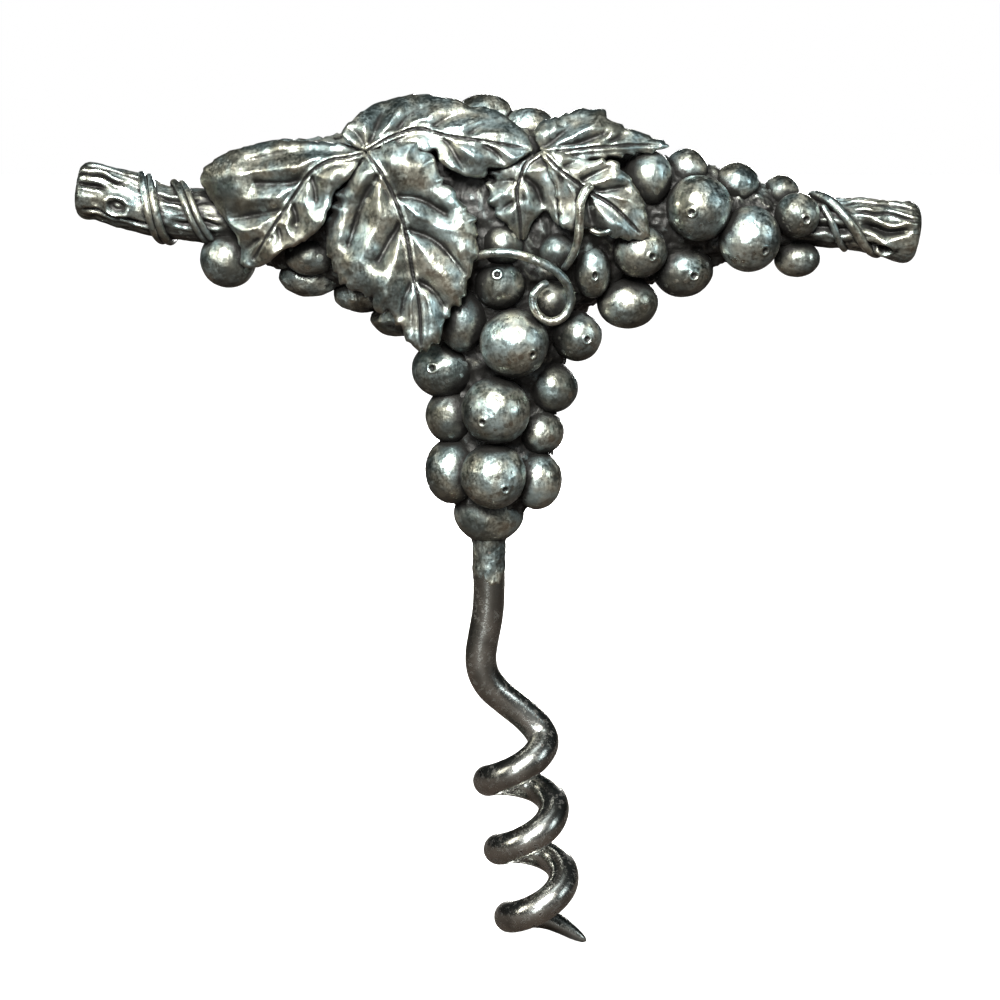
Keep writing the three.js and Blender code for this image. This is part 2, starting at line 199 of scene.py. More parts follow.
def pewterMaterial(name, darkness=0.0, hammer=1.0, look=pewterLook):
    material, tree, shader, place, grain = startMaterial(name)
    broad = grain(150, 3)
    middle = grain(620, 4)
    fine = grain(2600, 3)
    openness = closedness(tree, look["hollowReach"], 8)
    tight = closedness(tree, look["creviceReach"], 6)
    geometry = tree.nodes.new("ShaderNodeNewGeometry").outputs
    edges = geometry["Pointiness"]

    # patina: fills what is closed in, broken up by the grain, rubbed off raised edges; painted shade
    # darkens what faces down
    hollow = mapRange(tree, openness, 0.50, 1.0, 1.0, 0.0, smooth=True)
    crevice = mapRange(tree, tight, 0.45, 0.95, 1.0, 0.0, smooth=True)
    raised = mapRange(tree, edges, 0.50, 0.56, 0.0, 1.0)
    sunk = mapRange(tree, edges, 0.43, 0.497, 1.0, 0.0)
    patches = mapRange(tree, middle, 0.38, 0.72, -0.16, 0.22)
    patinaAndPaintedShade = calc(tree, "ADD", calc(tree, "MAXIMUM", hollow, crevice), patches)
    patinaAndPaintedShade = calc(tree, "ADD", patinaAndPaintedShade, calc(tree, "MULTIPLY", sunk, 0.5))
    patinaAndPaintedShade = calc(tree, "SUBTRACT", patinaAndPaintedShade, calc(tree, "MULTIPLY", raised, 0.45))
    # painted shade: what faces down is darkened, as if lit from above
    facing = addNode(tree, "ShaderNodeSeparateXYZ")
    join(tree, geometry["Normal"], facing.inputs[0])
    paintedUnderside = mapRange(tree, facing.outputs["Z"], 0.25, -0.85, 0.0, look["paintedShadeBelow"])
    mottle = mapRange(tree, grain(1300, 4, 0.7), 0.50, 0.70, 0.0, look["mottle"])
    patinaAndPaintedShade = calc(tree, "ADD", calc(tree, "ADD", patinaAndPaintedShade, paintedUnderside), mottle)
    patinaAndPaintedShade = calc(tree, "ADD", patinaAndPaintedShade, darkness)
    patinaAndPaintedShade = mapRange(tree, patinaAndPaintedShade, 0.02, 0.78)

    wear = mapRange(tree, calc(tree, "ADD", broad, calc(tree, "MULTIPLY", fine, 0.35)), 0.56, 0.82)
    wear = calc(tree, "MAXIMUM", wear, calc(tree, "MULTIPLY", raised, 0.8))
    film = mixColor(tree, wear, look["film"], look["worn"])
    tint = mapRange(tree, grain(260, 2), 0.40, 0.60)
    tintColor = mixColor(tree, tint, look["coolTint"], look["warmTint"])
    film = mixColor(tree, 0.55, film, mixColor(tree, 1.0, film, tintColor, "MULTIPLY"))
    film = mixColor(tree, 1.0, film, (1.28, 1.28, 1.28), "MULTIPLY")
    # painted reflection: a warm brown from below on what faces down
    film = mixColor(tree, calc(tree, "MULTIPLY", paintedUnderside, 1.6), film, look["paintedUnderReflection"])
    color = mixColor(tree, patinaAndPaintedShade, film, look["patinaAndPaintedShade"])
    join(tree, color, shader.inputs["Base Color"])

    roughness = mapRange(tree, wear, 0, 1, look["roughFilm"], look["roughWorn"])
    roughness = calc(tree, "ADD", roughness, mapRange(tree, fine, 0.3, 0.7, -0.05, 0.07))
    dull = calc(tree, "MULTIPLY", patinaAndPaintedShade, look["roughPatina"] - look["roughFilm"])
    join(tree, calc(tree, "ADD", roughness, dull), shader.inputs["Roughness"])
    join(tree, mapRange(tree, patinaAndPaintedShade, 0, 1, 1.0, 0.55), shader.inputs["Metallic"])

    # bump: hammered skin, the burnisher's short strokes, then the fine grain of the casting
    dents = addNode(tree, "ShaderNodeTexVoronoi", Scale=720, feature="SMOOTH_F1", Smoothness=0.45)
    join(tree, place, dents.inputs["Vector"])
    slant = tree.nodes.new("ShaderNodeMapping")
    slant.inputs["Rotation"].default_value = (0.3, 0.7, 0.2)
    slant.inputs["Scale"].default_value = (1.0, 1.0, 0.22)
    join(tree, place, slant.inputs["Vector"])
    strokes = addNode(tree, "ShaderNodeTexNoise", Scale=2300, Detail=2)
    join(tree, slant.outputs[0], strokes.inputs["Vector"])
    beaten = (dents.outputs["Distance"], 1.3 * hammer)
    layers = [beaten, (middle, hammer), (strokes.outputs["Fac"], 0.34), (fine, 0.16)]
    addBump(tree, shader, 0.75, 0.2, layers)
    return material


steelLook = {
    "bright": (0.50, 0.505, 0.475),
    "dull": (0.22, 0.222, 0.205),
    "stain": (0.020, 0.0125, 0.008),
    "roughBright": 0.20,
    "roughStain": 0.55,
}


def steelMaterial(name, look=steelLook):
    material, tree, shader, _, grain = startMaterial(name)
    broad = grain(220, 3, 0.6)
    specks = grain(1500, 5, 0.7)
    fine = grain(4200, 2, 0.6)
    shut = mapRange(tree, closedness(tree, 2.0, 6), 0.35, 0.9, 0.55, 0.0)
    stain = mapRange(tree, specks, 0.545, 0.64, smooth=True)
    stain = calc(tree, "MULTIPLY", stain, mapRange(tree, broad, 0.38, 0.56))
    stain = calc(tree, "MAXIMUM", stain, shut)
    metal = mixColor(tree, mapRange(tree, broad, 0.35, 0.65), look["dull"], look["bright"])
    join(tree, mixColor(tree, stain, metal, look["stain"]), shader.inputs["Base Color"])
    rough = mapRange(tree, broad, 0.3, 0.7, look["roughBright"] + 0.07, look["roughBright"])
    spread = look["roughStain"] - look["roughBright"]
    rough = calc(tree, "ADD", rough, calc(tree, "MULTIPLY", stain, spread))
    join(tree, rough, shader.inputs["Roughness"])
    join(tree, mapRange(tree, stain, 0, 1, 1.0, 0.75), shader.inputs["Metallic"])
    addBump(tree, shader, 0.35, 0.08, [(specks, 0.8), (fine, 0.4)])
    return material


grapeLook = {**pewterLook, "film": (0.052, 0.061, 0.060), "roughFilm": 0.38, "roughWorn": 0.27}
castPewter = pewterMaterial("castPewter", darkness=0.11, hammer=0.75, look=grapeLook)
leafPewter = pewterMaterial("leafPewter", darkness=0.0, hammer=0.35)
# painted shade: a darker copy of the leaf metal, for the upper and right leaves
shadedPewter = pewterMaterial("shadedPewter", darkness=0.13, hammer=0.35)
blackenedPewter = pewterMaterial("blackenedPewter", darkness=0.42, hammer=1.6)
roughCasting = pewterMaterial("roughCasting", darkness=0.2, hammer=2.4)
wormSteel = steelMaterial("wormSteel")
print("materials made")


# Turning points and faces into finished pieces


def finishPiece(name, points, faces, material, slot, *nodes):
    mesh = bpy.data.meshes.new(name)
    mesh.from_pydata([tuple(p) for p in points], [], faces)
    mesh.materials.append(material)
    mesh.update()
    mesh.shade_smooth()
    obj = bpy.data.objects.new(name, mesh)
    bpy.context.collection.objects.link(obj)
    return claim(obj, slot, *nodes)


def claim(obj, slot, *nodes):
    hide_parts(*nodes)
    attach(obj, "root")
    return obj


def smoothPath(points, spacing, closed=False):
    # a centripetal Catmull-Rom curve through the points, resampled at an even spacing
    pts = np.array(points, float)
    count = len(pts)
    if closed:
        padded = np.vstack([pts[-1:], pts, pts[:2]])
    else:
        padded = np.vstack([2 * pts[0] - pts[1], pts, 2 * pts[-1] - pts[-2]])
    made = []
    for i in range(count if closed else count - 1):
        p0, p1, p2, p3 = padded[i : i + 4]
        t1 = np.linalg.norm(p1 - p0) ** 0.5 + 1e-9
        t2 = t1 + np.linalg.norm(p2 - p1) ** 0.5 + 1e-9
        t3 = t2 + np.linalg.norm(p3 - p2) ** 0.5 + 1e-9
        for t in np.linspace(t1, t2, 12, endpoint=False):
            a1 = (t1 - t) / t1 * p0 + t / t1 * p1
            a2 = (t2 - t) / (t2 - t1) * p1 + (t - t1) / (t2 - t1) * p2
            a3 = (t3 - t) / (t3 - t2) * p2 + (t - t2) / (t3 - t2) * p3
            b1 = (t2 - t) / t2 * a1 + t / t2 * a2
            b2 = (t3 - t) / (t3 - t1) * a2 + (t - t1) / (t3 - t1) * a3
            made.append((t2 - t) / (t2 - t1) * b1 + (t - t1) / (t2 - t1) * b2)
    made.append(pts[0] if closed else pts[-1])
    made = np.array(made)
    run = np.concatenate([[0], np.cumsum(np.linalg.norm(np.diff(made, axis=0), axis=1))])
    steps = max(3, int(round(run[-1] / spacing)))
    marks = np.linspace(0, run[-1], steps + 1)
    even = np.stack([np.interp(marks, run, made[:, k]) for k in range(pts.shape[1])], axis=1)
    return even[:-1] if closed else even


def gridFaces(rings, sides):
    faces = []
    for r in range(rings - 1):
        for i in range(sides):
            j = (i + 1) % sides
            faces.append((r * sides + i, r * sides + j, (r + 1) * sides + j, (r + 1) * sides + i))
    return faces


def sweep(path, sides, shape):
    # rings about a path in millimetres; shape(ring, angle) gives the radius; both ends are closed
    path = np.array(path, float)
    ways = np.gradient(path, axis=0)
    ways /= np.linalg.norm(ways, axis=1)[:, None]
    across = np.cross(ways[0], (0.0, 1.0, 0.0))
    if np.linalg.norm(across) < 0.2:
        across = np.cross(ways[0], (1.0, 0.0, 0.0))
    points = []
    for r, (centre, way) in enumerate(zip(path, ways)):
        across = across - way * np.dot(across, way)
        across /= np.linalg.norm(across)
        other = np.cross(way, across)
        for i in range(sides):
            angle = i / sides * 2 * math.pi
            radius = shape(r, angle)
            points.append(centre + radius * (math.cos(angle) * across + math.sin(angle) * other))
    faces = gridFaces(len(path), sides)
    last = (len(path) - 1) * sides
    points += [path[0], path[-1]]
    start, end = len(points) - 2, len(points) - 1
    for i in range(sides):
        j = (i + 1) % sides
        faces += [(start, j, i), (end, last + i, last + j)]
    return points, faces


def wobble(x, y, z, scale, seed=0.0):
    return noise.noise(Vector((x * scale + seed, y * scale - seed, z * scale + 2 * seed)))


def roundEnds(path, radii, spacing):
    # eases the radii to nothing over a half circle at both ends
    length = np.arange(len(path)) * spacing
    total = length[-1]
    eased = []
    for s, radius in zip(length, radii):
        edge = min(s, total - s)
        share = min(1.0, edge / radius) if radius else 1.0
        eased.append(radius * math.sqrt(max(0.0, 1 - (1 - share) ** 2)) + 0.004)
    return eased


def placed(points):
    return [at(*p) for p in points]


# Grapes: an ico sphere on each grape's place, pushed out of true by noise, with the small ringed
# dimple that the flower leaves


def startTree(name, sockets):
    # a tree with its named inputs, besides the geometry that comes in and goes out
    tree = bpy.data.node_groups.new(name, "GeometryNodeTree")
    for label, kind in (("Geometry", "Geometry"), *sockets, ("Metal", "Material")):
        tree.interface.new_socket(label, in_out="INPUT", socket_type="NodeSocket" + kind)
    tree.interface.new_socket("Geometry", in_out="OUTPUT", socket_type="NodeSocketGeometry")
    return tree, tree.nodes.new("NodeGroupInput").outputs


def endTree(tree, given, geometry):
    soft = tree.nodes.new("GeometryNodeSetShadeSmooth")
    join(tree, geometry, soft.inputs[0])
    real = tree.nodes.new("GeometryNodeRealizeInstances")
    join(tree, soft.outputs[0], real.inputs[0])
    metal = tree.nodes.new("GeometryNodeSetMaterial")
    join(tree, real.outputs[0], metal.inputs["Geometry"])
    join(tree, given["Metal"], metal.inputs["Material"])
    join(tree, metal.outputs[0], tree.nodes.new("NodeGroupOutput").inputs[0])
    return tree


def grapeTree():
    tree, given = startTree("grape", (
        ("Radius", "Float"), ("Stretch", "Vector"), ("Fineness", "Int"), ("Lumps", "Float"),
        ("Dimple Way", "Vector"), ("Dimple Size", "Float"), ("Seed", "Float"),
    ))
    ball = addNode(tree, "GeometryNodeMeshIcoSphere", Radius=1.0)
    join(tree, given["Fineness"], ball.inputs["Subdivisions"])
    position = tree.nodes.new("GeometryNodeInputPosition").outputs[0]

    def vector(operation, *values):
        node = tree.nodes.new("ShaderNodeVectorMath")
        node.operation = operation
        for socket, value in zip(node.inputs, values):
            if isinstance(value, (int, float)):
                socket.default_value = (value,) * 3
            else:
                join(tree, value, socket)
        return node

    def noiseAt(scale, detail):
        shifted = vector("ADD", position, vector("SCALE", given["Dimple Way"]).outputs[0])
        node = addNode(tree, "ShaderNodeTexNoise", Scale=scale, Detail=detail, noise_dimensions="4D")
        join(tree, shifted.outputs[0], node.inputs["Vector"])
        join(tree, given["Seed"], node.inputs["W"])
        return calc(tree, "SUBTRACT", node.outputs["Fac"], 0.5)

    lumps = calc(tree, "MULTIPLY", noiseAt(0.9, 1), 2.2)
    lumps = calc(tree, "ADD", lumps, calc(tree, "MULTIPLY", noiseAt(3.4, 2), 0.42))
    lumps = calc(tree, "MULTIPLY", lumps, given["Lumps"])
    dot = vector("DOT_PRODUCT", position, given["Dimple Way"]).outputs["Value"]
    angle = calc(tree, "ARCCOSINE", calc(tree, "MINIMUM", dot, 1.0))
    reach = calc(tree, "DIVIDE", angle, calc(tree, "MAXIMUM", given["Dimple Size"], 0.001))

    def bell(centre, width):
        off = calc(tree, "DIVIDE", calc(tree, "SUBTRACT", reach, centre), width)
        square = calc(tree, "MULTIPLY", off, off)
        return calc(tree, "EXPONENT", calc(tree, "MULTIPLY", square, -1.0))

    ring = calc(tree, "MULTIPLY", bell(1.0, 0.34), 0.30)
    pit = calc(tree, "MULTIPLY", bell(0.0, 0.62), 0.62)
    button = calc(tree, "MULTIPLY", bell(0.0, 0.2), 0.22)
    mark = calc(tree, "SUBTRACT", calc(tree, "ADD", ring, button), pit)
    mark = calc(tree, "MULTIPLY", mark, given["Dimple Size"])
    out = calc(tree, "ADD", calc(tree, "ADD", lumps, mark), 1.0)
    grown = vector("SCALE", position)
    join(tree, out, grown.inputs["Scale"])
    shaped = tree.nodes.new("GeometryNodeSetPosition")
    join(tree, ball.outputs["Mesh"], shaped.inputs["Geometry"])
    join(tree, grown.outputs[0], shaped.inputs["Position"])
    size = vector("SCALE", given["Stretch"])
    join(tree, given["Radius"], size.inputs["Scale"])
    spread = tree.nodes.new("GeometryNodeInstanceOnPoints")
    join(tree, given["Geometry"], spread.inputs["Points"])
    join(tree, shaped.outputs[0], spread.inputs["Instance"])
    join(tree, size.outputs[0], spread.inputs["Scale"])
    return endTree(tree, given, spread.outputs[0])


def runTree(tree, base, inputs):
    # sets the named inputs by identifier, evaluates and returns the result as a plain mesh
    modifier = base.modifiers.new("tree", "NODES")
    modifier.node_group = tree
    for socket in tree.interface.items_tree:
        if socket.in_out == "INPUT" and socket.name in inputs:
            modifier[socket.identifier] = inputs[socket.name]
    bpy.context.view_layer.update()
    evaluated = base.evaluated_get(bpy.context.evaluated_depsgraph_get())
    mesh = bpy.data.meshes.new_from_object(evaluated)
    base.modifiers.remove(modifier)
    return mesh


def treePiece(name, tree, basePoints, baseEdges, inputs, attributes=None):
    start = bpy.data.meshes.new(name)
    start.from_pydata([tuple(p) for p in basePoints], baseEdges, [])
    for key, values in (attributes or {}).items():
        start.attributes.new(key, "FLOAT", "POINT").data.foreach_set("value", values)
    obj = bpy.data.objects.new(name, start)
    bpy.context.collection.objects.link(obj)
    obj.data = runTree(tree, obj, inputs)
    obj.data.name = name
    return obj


grapeCare = {
    "lumps": 0.045,  # how far out of round, as a share of the radius
    "dimpleSize": 0.52,  # mm, radius of the ring
    "roughCast": ("left_grape_1", "left_grape_2", "left_grape_3"),  # left as they came from the mould
    "roughLumps": 0.16,
    "boldFineness": 6,
    "plainFineness": 5,
}

# Each grape as x, y, z, radius, then the dimple's place across and up the face as shares of the
# radius (None for no dimple) and how wide, deep and tall it is against a ball.
round3 = (1, 1, 1)
grapes = {
    "column_grape": [
        (0, 0, 4.4, 4.2, None, (1.08, 1, 0.97)),
        (0.6, -5.5, 10.1, 4.2, (0.36, -0.43), round3),
        (0.9, -6.5, 18.6, 4.3, (-0.38, -0.38), (1.02, 1, 0.99)),
        (3.2, -7.5, 27.3, 4.3, (0.52, -0.40), (1.02, 1, 1)),
        (-4.6, -1.8, 10.2, 3.65, None, (1, 1.1, 1.18)),
        (6.2, -1.8, 9, 3.2, None, (1.02, 1.15, 1.22)),
        (-4.8, -1.8, 17.4, 3.2, None, (1.04, 1.1, 1.14)),
        (6.5, -1.8, 15.3, 2.7, None, (1.18, 1.2, 1.12)),
        (-5.7, -2, 23.4, 3.8, (-0.34, -0.02), (1.1, 1.1, 0.98)),
        (8.1, -1.8, 21, 3.1, None, (1.08, 1.15, 1.06)),
    ],
    "middle_grape": [
        (-3.3, -5, 29.9, 3.6, None, (0.86, 1, 1.12)),
        (1.4, -6, 34.5, 3.2, (-0.1, 0.3), round3),
        (7.9, -6.3, 32.5, 2.5, None, round3),
        (8.6, -6.8, 38.6, 2.4, None, round3),
        (1.8, -6.5, 39.5, 2.7, None, round3),
    ],
    "right_grape": [
        (11.2, -3, 27.7, 3.2, (0.38, -0.2), round3),
        (13, -5, 36.2, 3, (0.1, -0.3), (0.8, 1, 1.16)),
        (17.6, -3, 31.9, 3.5, None, (1.1, 1, 0.93)),
        (18.9, -5.5, 38.7, 3.4, (0.40, -0.32), (1.04, 1, 1)),
        (19.9, -5, 47.7, 3.1, None, (0.98, 1, 1.14)),
        (24.6, -2, 36, 3.6, (0.3, -0.3), (1.08, 1.05, 0.96)),
        (26.2, -6, 44, 4.1, (-0.3, -0.25), round3),
        (24.9, -1.5, 48.4, 2.8, None, round3),
        (32.7, -5, 40.1, 3.9, (0.42, -0.45), (1, 1, 1.07)),
        (31.2, -1.5, 46.7, 2.8, None, (1.05, 1.1, 1)),
        (38.7, -4, 43, 2.8, (0.3, -0.3), (1.02, 1, 1)),
        (37, -0.5, 45.7, 2.2, None, (1.05, 1.1, 1)),
        (39.2, -1, 37.4, 2.4, None, (1.22, 1.1, 1)),
    ],
    "left_grape": [
        (-11.6, 0.6, 29.7, 2.8, None, (1.3, 1, 0.86)),
        (-16.2, 0.6, 32.7, 2.8, None, (1.3, 1, 0.86)),
        (-22.8, -0.5, 35.1, 3.1, None, (1.25, 1, 0.88)),
        (-22.4, -3.5, 38, 2.8, None, (1.2, 1, 0.92)),
        (-33.1, -1.5, 37.3, 3.6, None, (1, 1.05, 1)),
    ],
    "top_grape": [
        (-0.6, 1.4, 55, 3.0, None, (1.3, 1, 1)),
        (5, 0.4, 53.5, 2.8, None, (1.3, 1, 1)),
    ],
    "back_grape": [
        (0.3, 4.5, 9.9, 4.1, None, round3),
        (0.1, 5.5, 18.4, 4.2, None, round3),
        (1.4, 6.5, 27.5, 4.3, None, round3),
        (-6.4, 5, 31.6, 3.9, None, round3),
        (9.2, 5, 31.6, 3.9, None, round3),
        (17, 5.5, 39.5, 4.2, None, round3),
        (25.3, 4.5, 43.9, 3.9, None, round3),
        (33, 3.5, 42, 3.5, None, round3),
    ],
}


def faceWay(across, up):
    tilt = math.radians(camera["elevation"])
    out = math.sqrt(max(0.0, 1 - across * across - up * up))
    back = up * math.sin(tilt) - out * math.cos(tilt)
    return Vector((across, back, out * math.sin(tilt) + up * math.cos(tilt)))


def makeGrapes():
    tree = grapeTree()
    for group, places in grapes.items():
        for i, (x, y, z, radius, dimple, stretch) in enumerate(places):
            node = f"{group}_{i + 1}"
            bold = dimple is not None
            rough = node in grapeCare["roughCast"]
            inputs = {
                "Radius": radius * mm,
                "Stretch": stretch,
                "Fineness": grapeCare["boldFineness"] if bold else grapeCare["plainFineness"],
                "Lumps": grapeCare["roughLumps"] if rough else grapeCare["lumps"],
                "Dimple Way": faceWay(*dimple) if bold else (0.0, 0.0, 1.0),
                "Dimple Size": grapeCare["dimpleSize"] / radius if bold else 0.0,
                "Seed": 3.7 * i + 11.0 * len(group),
                "Metal": roughCasting if rough else castPewter,
            }
            obj = treePiece(node.replace("_", "-"), tree, [at(x, y, z)], [], inputs)
            claim(obj, "pewter", node)
        print(group, len(places))


makeGrapes()


# Wire and tendrils: a path carried as a chain of edges, swept by a tree

wormSize = {
    "wire": 4.15,
    "coilOutside": 12.6,
    "pitch": 10,
    "turns": 2.8,
    "pointLength": 5.2,
    "pointDrop": 1.5,
    "shankLength": 26.6,
    "shankLine": [  # x, y and how far down the shank
        (0, 0, 0.1), (0, 0, 0.2), (-0.1, 0, 0.33), (-0.8, 0, 0.47), (-1.2, 0, 0.59), (-0.4, 0.2, 0.69),
        (1.9, 0.8, 0.78), (4.6, 0.9, 0.86),
    ],
    "coilStart": (3.2, 0.3),  # where the coil's axis starts
    "lean": (0.141, 0.097),  # how far the coil leans right and back for each millimetre down
    "taper": 12,  # length over which the wire narrows to its point
    "intoHandle": 3,
    "sides": 48,
    "spacing": 0.3,
    "easing": 10,  # passes that soften the path's corners
    "tip": 0.08,  # radius of the point's end
    "roughen": 0.10,
    "roughenScale": 420,
}


def barTree():
    tree, given = startTree("bar", (("Sides", "Int"), ("Roughen", "Float"), ("Roughen Scale", "Float")))
    curve = tree.nodes.new("GeometryNodeMeshToCurve")
    join(tree, given["Geometry"], curve.inputs[0])
    girth = addNode(tree, "GeometryNodeInputNamedAttribute", data_type="FLOAT", Name="girth")
    thick = tree.nodes.new("GeometryNodeSetCurveRadius")
    join(tree, curve.outputs[0], thick.inputs["Curve"])
    join(tree, girth.outputs[0], thick.inputs["Radius"])
    circle = addNode(tree, "GeometryNodeCurvePrimitiveCircle", Radius=1.0)
    join(tree, given["Sides"], circle.inputs["Resolution"])
    skin = tree.nodes.new("GeometryNodeCurveToMesh")
    skin.inputs["Fill Caps"].default_value = True
    join(tree, thick.outputs[0], skin.inputs["Curve"])
    join(tree, circle.outputs[0], skin.inputs["Profile Curve"])
    if "Scale" in skin.inputs:
        join(tree, girth.outputs[0], skin.inputs["Scale"])
    grain = addNode(tree, "ShaderNodeTexNoise", Detail=3.0)
    join(tree, given["Roughen Scale"], grain.inputs["Scale"])
    depth = calc(tree, "MULTIPLY", calc(tree, "SUBTRACT", grain.outputs["Fac"], 0.5), given["Roughen"])
    along = tree.nodes.new("ShaderNodeVectorMath")
    along.operation = "SCALE"
    join(tree, tree.nodes.new("GeometryNodeInputNormal").outputs[0], along.inputs[0])
    join(tree, depth, along.inputs["Scale"])
    pushed = tree.nodes.new("GeometryNodeSetPosition")
    join(tree, skin.outputs[0], pushed.inputs["Geometry"])
    join(tree, along.outputs[0], pushed.inputs["Offset"])
    return endTree(tree, given, pushed.outputs[0])


barNodes = barTree()


def makeBar(name, path, radii, sides, material, roughen=0.0, roughenScale=900.0):
    inputs = {"Sides": sides, "Roughen": roughen * mm, "Roughen Scale": roughenScale, "Metal": material}
    edges = [(i, i + 1) for i in range(len(path) - 1)]
    girths = [radius * mm for radius in radii]
    return treePiece(name, barNodes, placed(path), edges, inputs, {"girth": girths})


def coilPoint(turns):
    size = wormSize
    down = Vector((*size["lean"], -1)).normalized()
    right = (Vector((1, 0, 0)) - down * down.x).normalized()
    front = right.cross(down)
    if front.y > 0:
        front.negate()
    radius = (size["coilOutside"] - size["wire"]) / 2
    angle = turns * 2 * math.pi
    top = Vector((*size["coilStart"], -size["shankLength"]))
    return top + down * turns * size["pitch"] + (right * math.cos(angle) + front * math.sin(angle)) * radius


def wormPath():
    size = wormSize
    shank = [(0, 0, size["intoHandle"]), (0, 0, 1)]
    shank += [(x, y, -share * size["shankLength"]) for x, y, share in size["shankLine"]]
    steps = 40
    coil = [tuple(coilPoint(i / steps * size["turns"])) for i in range(steps + 1)]
    end = coilPoint(size["turns"])
    wayOut = (end - coilPoint(size["turns"] - 0.01)).normalized()
    tip = end + wayOut * size["pointLength"] + Vector((0, 0, -size["pointDrop"]))
    point = [tuple(end.lerp(tip, share)) for share in (0.35, 0.7, 1)]
    path = smoothPath(shank + coil + point, size["spacing"])
    for _ in range(size["easing"]):  # a bent wire has no corners
        path[2:-2] = (path[:-4] + path[1:-3] + path[2:-2] + path[3:-1] + path[4:]) / 5
    return path


def makeWorm():
    size = wormSize
    path = wormPath()
    left = np.arange(len(path))[::-1] * size["spacing"]
    radii = size["tip"] + (size["wire"] / 2 - size["tip"]) * np.sqrt(np.minimum(1, left / size["taper"]))
    rough = (size["roughen"], size["roughenScale"])
    obj = makeBar("worm", path, radii, size["sides"], wormSteel, *rough)
    claim(obj, "worm_steel", "worm")
    print("worm", len(path), "rings")


makeWorm()

branchSides = 144
branchStep = 0.15
# grooves as turn about the branch (0 faces the viewer, upwards positive), from x, to x, half width
# and depth; scars, where shoots were cut, as x, turn, half length and half width
leftBranch = {
    "line": [
        (-51.9, -1, 46.1), (-49, -1, 45.7), (-46, -1, 44.8), (-42, -1, 43.5), (-38, -1, 42.9),
        (-33, -1, 42.6), (-29, -0.5, 42.8),
    ],
    "girth": [3.5, 3.4, 3.6, 3.35, 3.3, 3.3, 3.0],
    "grooves": [
        (0.115, -52, -46.5, 0.24, 0.75), (0.045, -51.4, -48.6, 0.3, 0.8), (0.18, -50.5, -44.2, 0.22, 0.55),
        (-0.10, -50.2, -41, 0.26, 0.6), (-0.19, -51.5, -45, 0.25, 0.5), (0.3, -51, -43, 0.3, 0.6),
        (0.42, -51.5, -40, 0.3, 0.7), (-0.34, -50.5, -42, 0.3, 0.7), (0.09, -41.5, -36, 0.3, 0.45),
        (-0.04, -39, -34, 0.3, 0.4),
    ],
    "scars": [(-46.3, -0.035, 1.35, 0.95)],
    "seed": 4.0,
}
rightBranch = {
    "line": [
        (54.4, -1, 40.5), (52.8, -1, 40.7), (50, -1, 41.2), (46, -1, 41.7), (42, -1, 41.9),
        (38, -1, 42.2), (34, -0.5, 42.4),
    ],
    "girth": [3.7, 3.95, 3.5, 3.1, 3.0, 3.0, 2.6],
    "grooves": [
        (0.0, 47.5, 52.4, 0.42, 1.0), (0.09, 46.5, 53.4, 0.22, 0.5), (0.16, 45, 53, 0.24, 0.55),
        (-0.12, 48, 51.6, 0.5, 0.9), (0.22, 44, 52, 0.22, 0.4), (0.3, 43, 52.6, 0.3, 0.6),
        (0.42, 42, 53, 0.3, 0.7), (-0.3, 43, 53, 0.3, 0.6), (-0.02, 40, 45.5, 0.5, 0.8),
        (0.12, 40.5, 44.5, 0.3, 0.5),
    ],
    "scars": [(50.3, -0.115, 0.95, 0.75)],
    "seed": 9.0,
}


def makeBranch(name, node, branch):
    path = smoothPath(branch["line"], branchStep)
    run = np.arange(len(path)) * branchStep
    lineX = [p[0] for p in branch["line"]]
    order = np.argsort(lineX)
    girths = np.interp(path[:, 0], np.array(lineX)[order], np.array(branch["girth"])[order])
    seed = branch["seed"]
    facing = 1 if lineX[0] < lineX[-1] else -1

    def away(turn, x, along):
        # how far round the branch a place is from a groove that wanders a little
        shift = 0.03 * noise.noise(Vector((x * 0.35, along * 9, seed)))
        return ((turn - along - shift + 0.5) % 1 - 0.5) * 2 * math.pi

    def shape(r, angle):
        x = path[r][0]
        turn = facing * (0.25 - angle / (2 * math.pi))
        radius = girths[r]
        c, s = math.cos(angle), math.sin(angle)
        radius += 0.30 * noise.noise(Vector((c * 1.2, s * 1.2, x * 0.22 + seed)))
        radius += 0.16 * noise.noise(Vector((c * 3.5, s * 3.5, x * 0.45 - seed)))
        radius += 0.07 * noise.noise(Vector((c * 13, s * 13, x * 0.9 + seed)))
        for along, start, end, halfWidth, depth in branch["grooves"]:
            inside = min(x - start, end - x)
            if inside > -0.8:
                across = away(turn, x, along) * girths[r] / halfWidth
                fade = min(1.0, max(0.0, (inside + 0.8) / 1.6))
                radius -= depth * fade * math.exp(-(across**2))
                radius += 0.28 * depth * fade * math.exp(-((abs(across) - 2.1) ** 2))
        for scarX, scarTurn, halfLength, halfWidth in branch["scars"]:
            across = ((turn - scarTurn + 0.5) % 1 - 0.5) * 2 * math.pi * girths[r] / halfWidth
            off = math.hypot((x - scarX) / halfLength, across)
            radius += 0.42 * math.exp(-(((off - 1.1) / 0.4) ** 2)) - 0.6 * math.exp(-((off / 0.8) ** 4))
            radius += 0.34 * math.exp(-((off / 0.42) ** 2))
        bevel = 1.3
        if run[r] < bevel:
            radius -= bevel * (1 - math.sqrt(1 - (1 - run[r] / bevel) ** 2))
        return radius

    points, faces = sweep(path, branchSides, shape)
    hollow = len(points) - 2
    points[hollow] = points[hollow] + np.array([0.35 * facing, 0, 0])
    return finishPiece(name, placed(points), faces, castPewter, "pewter", node)


makeBranch("left-branch", "left_branch", leftBranch)
makeBranch("right-branch", "right_branch", rightBranch)
print("branches made")

tendrilStep = 0.18
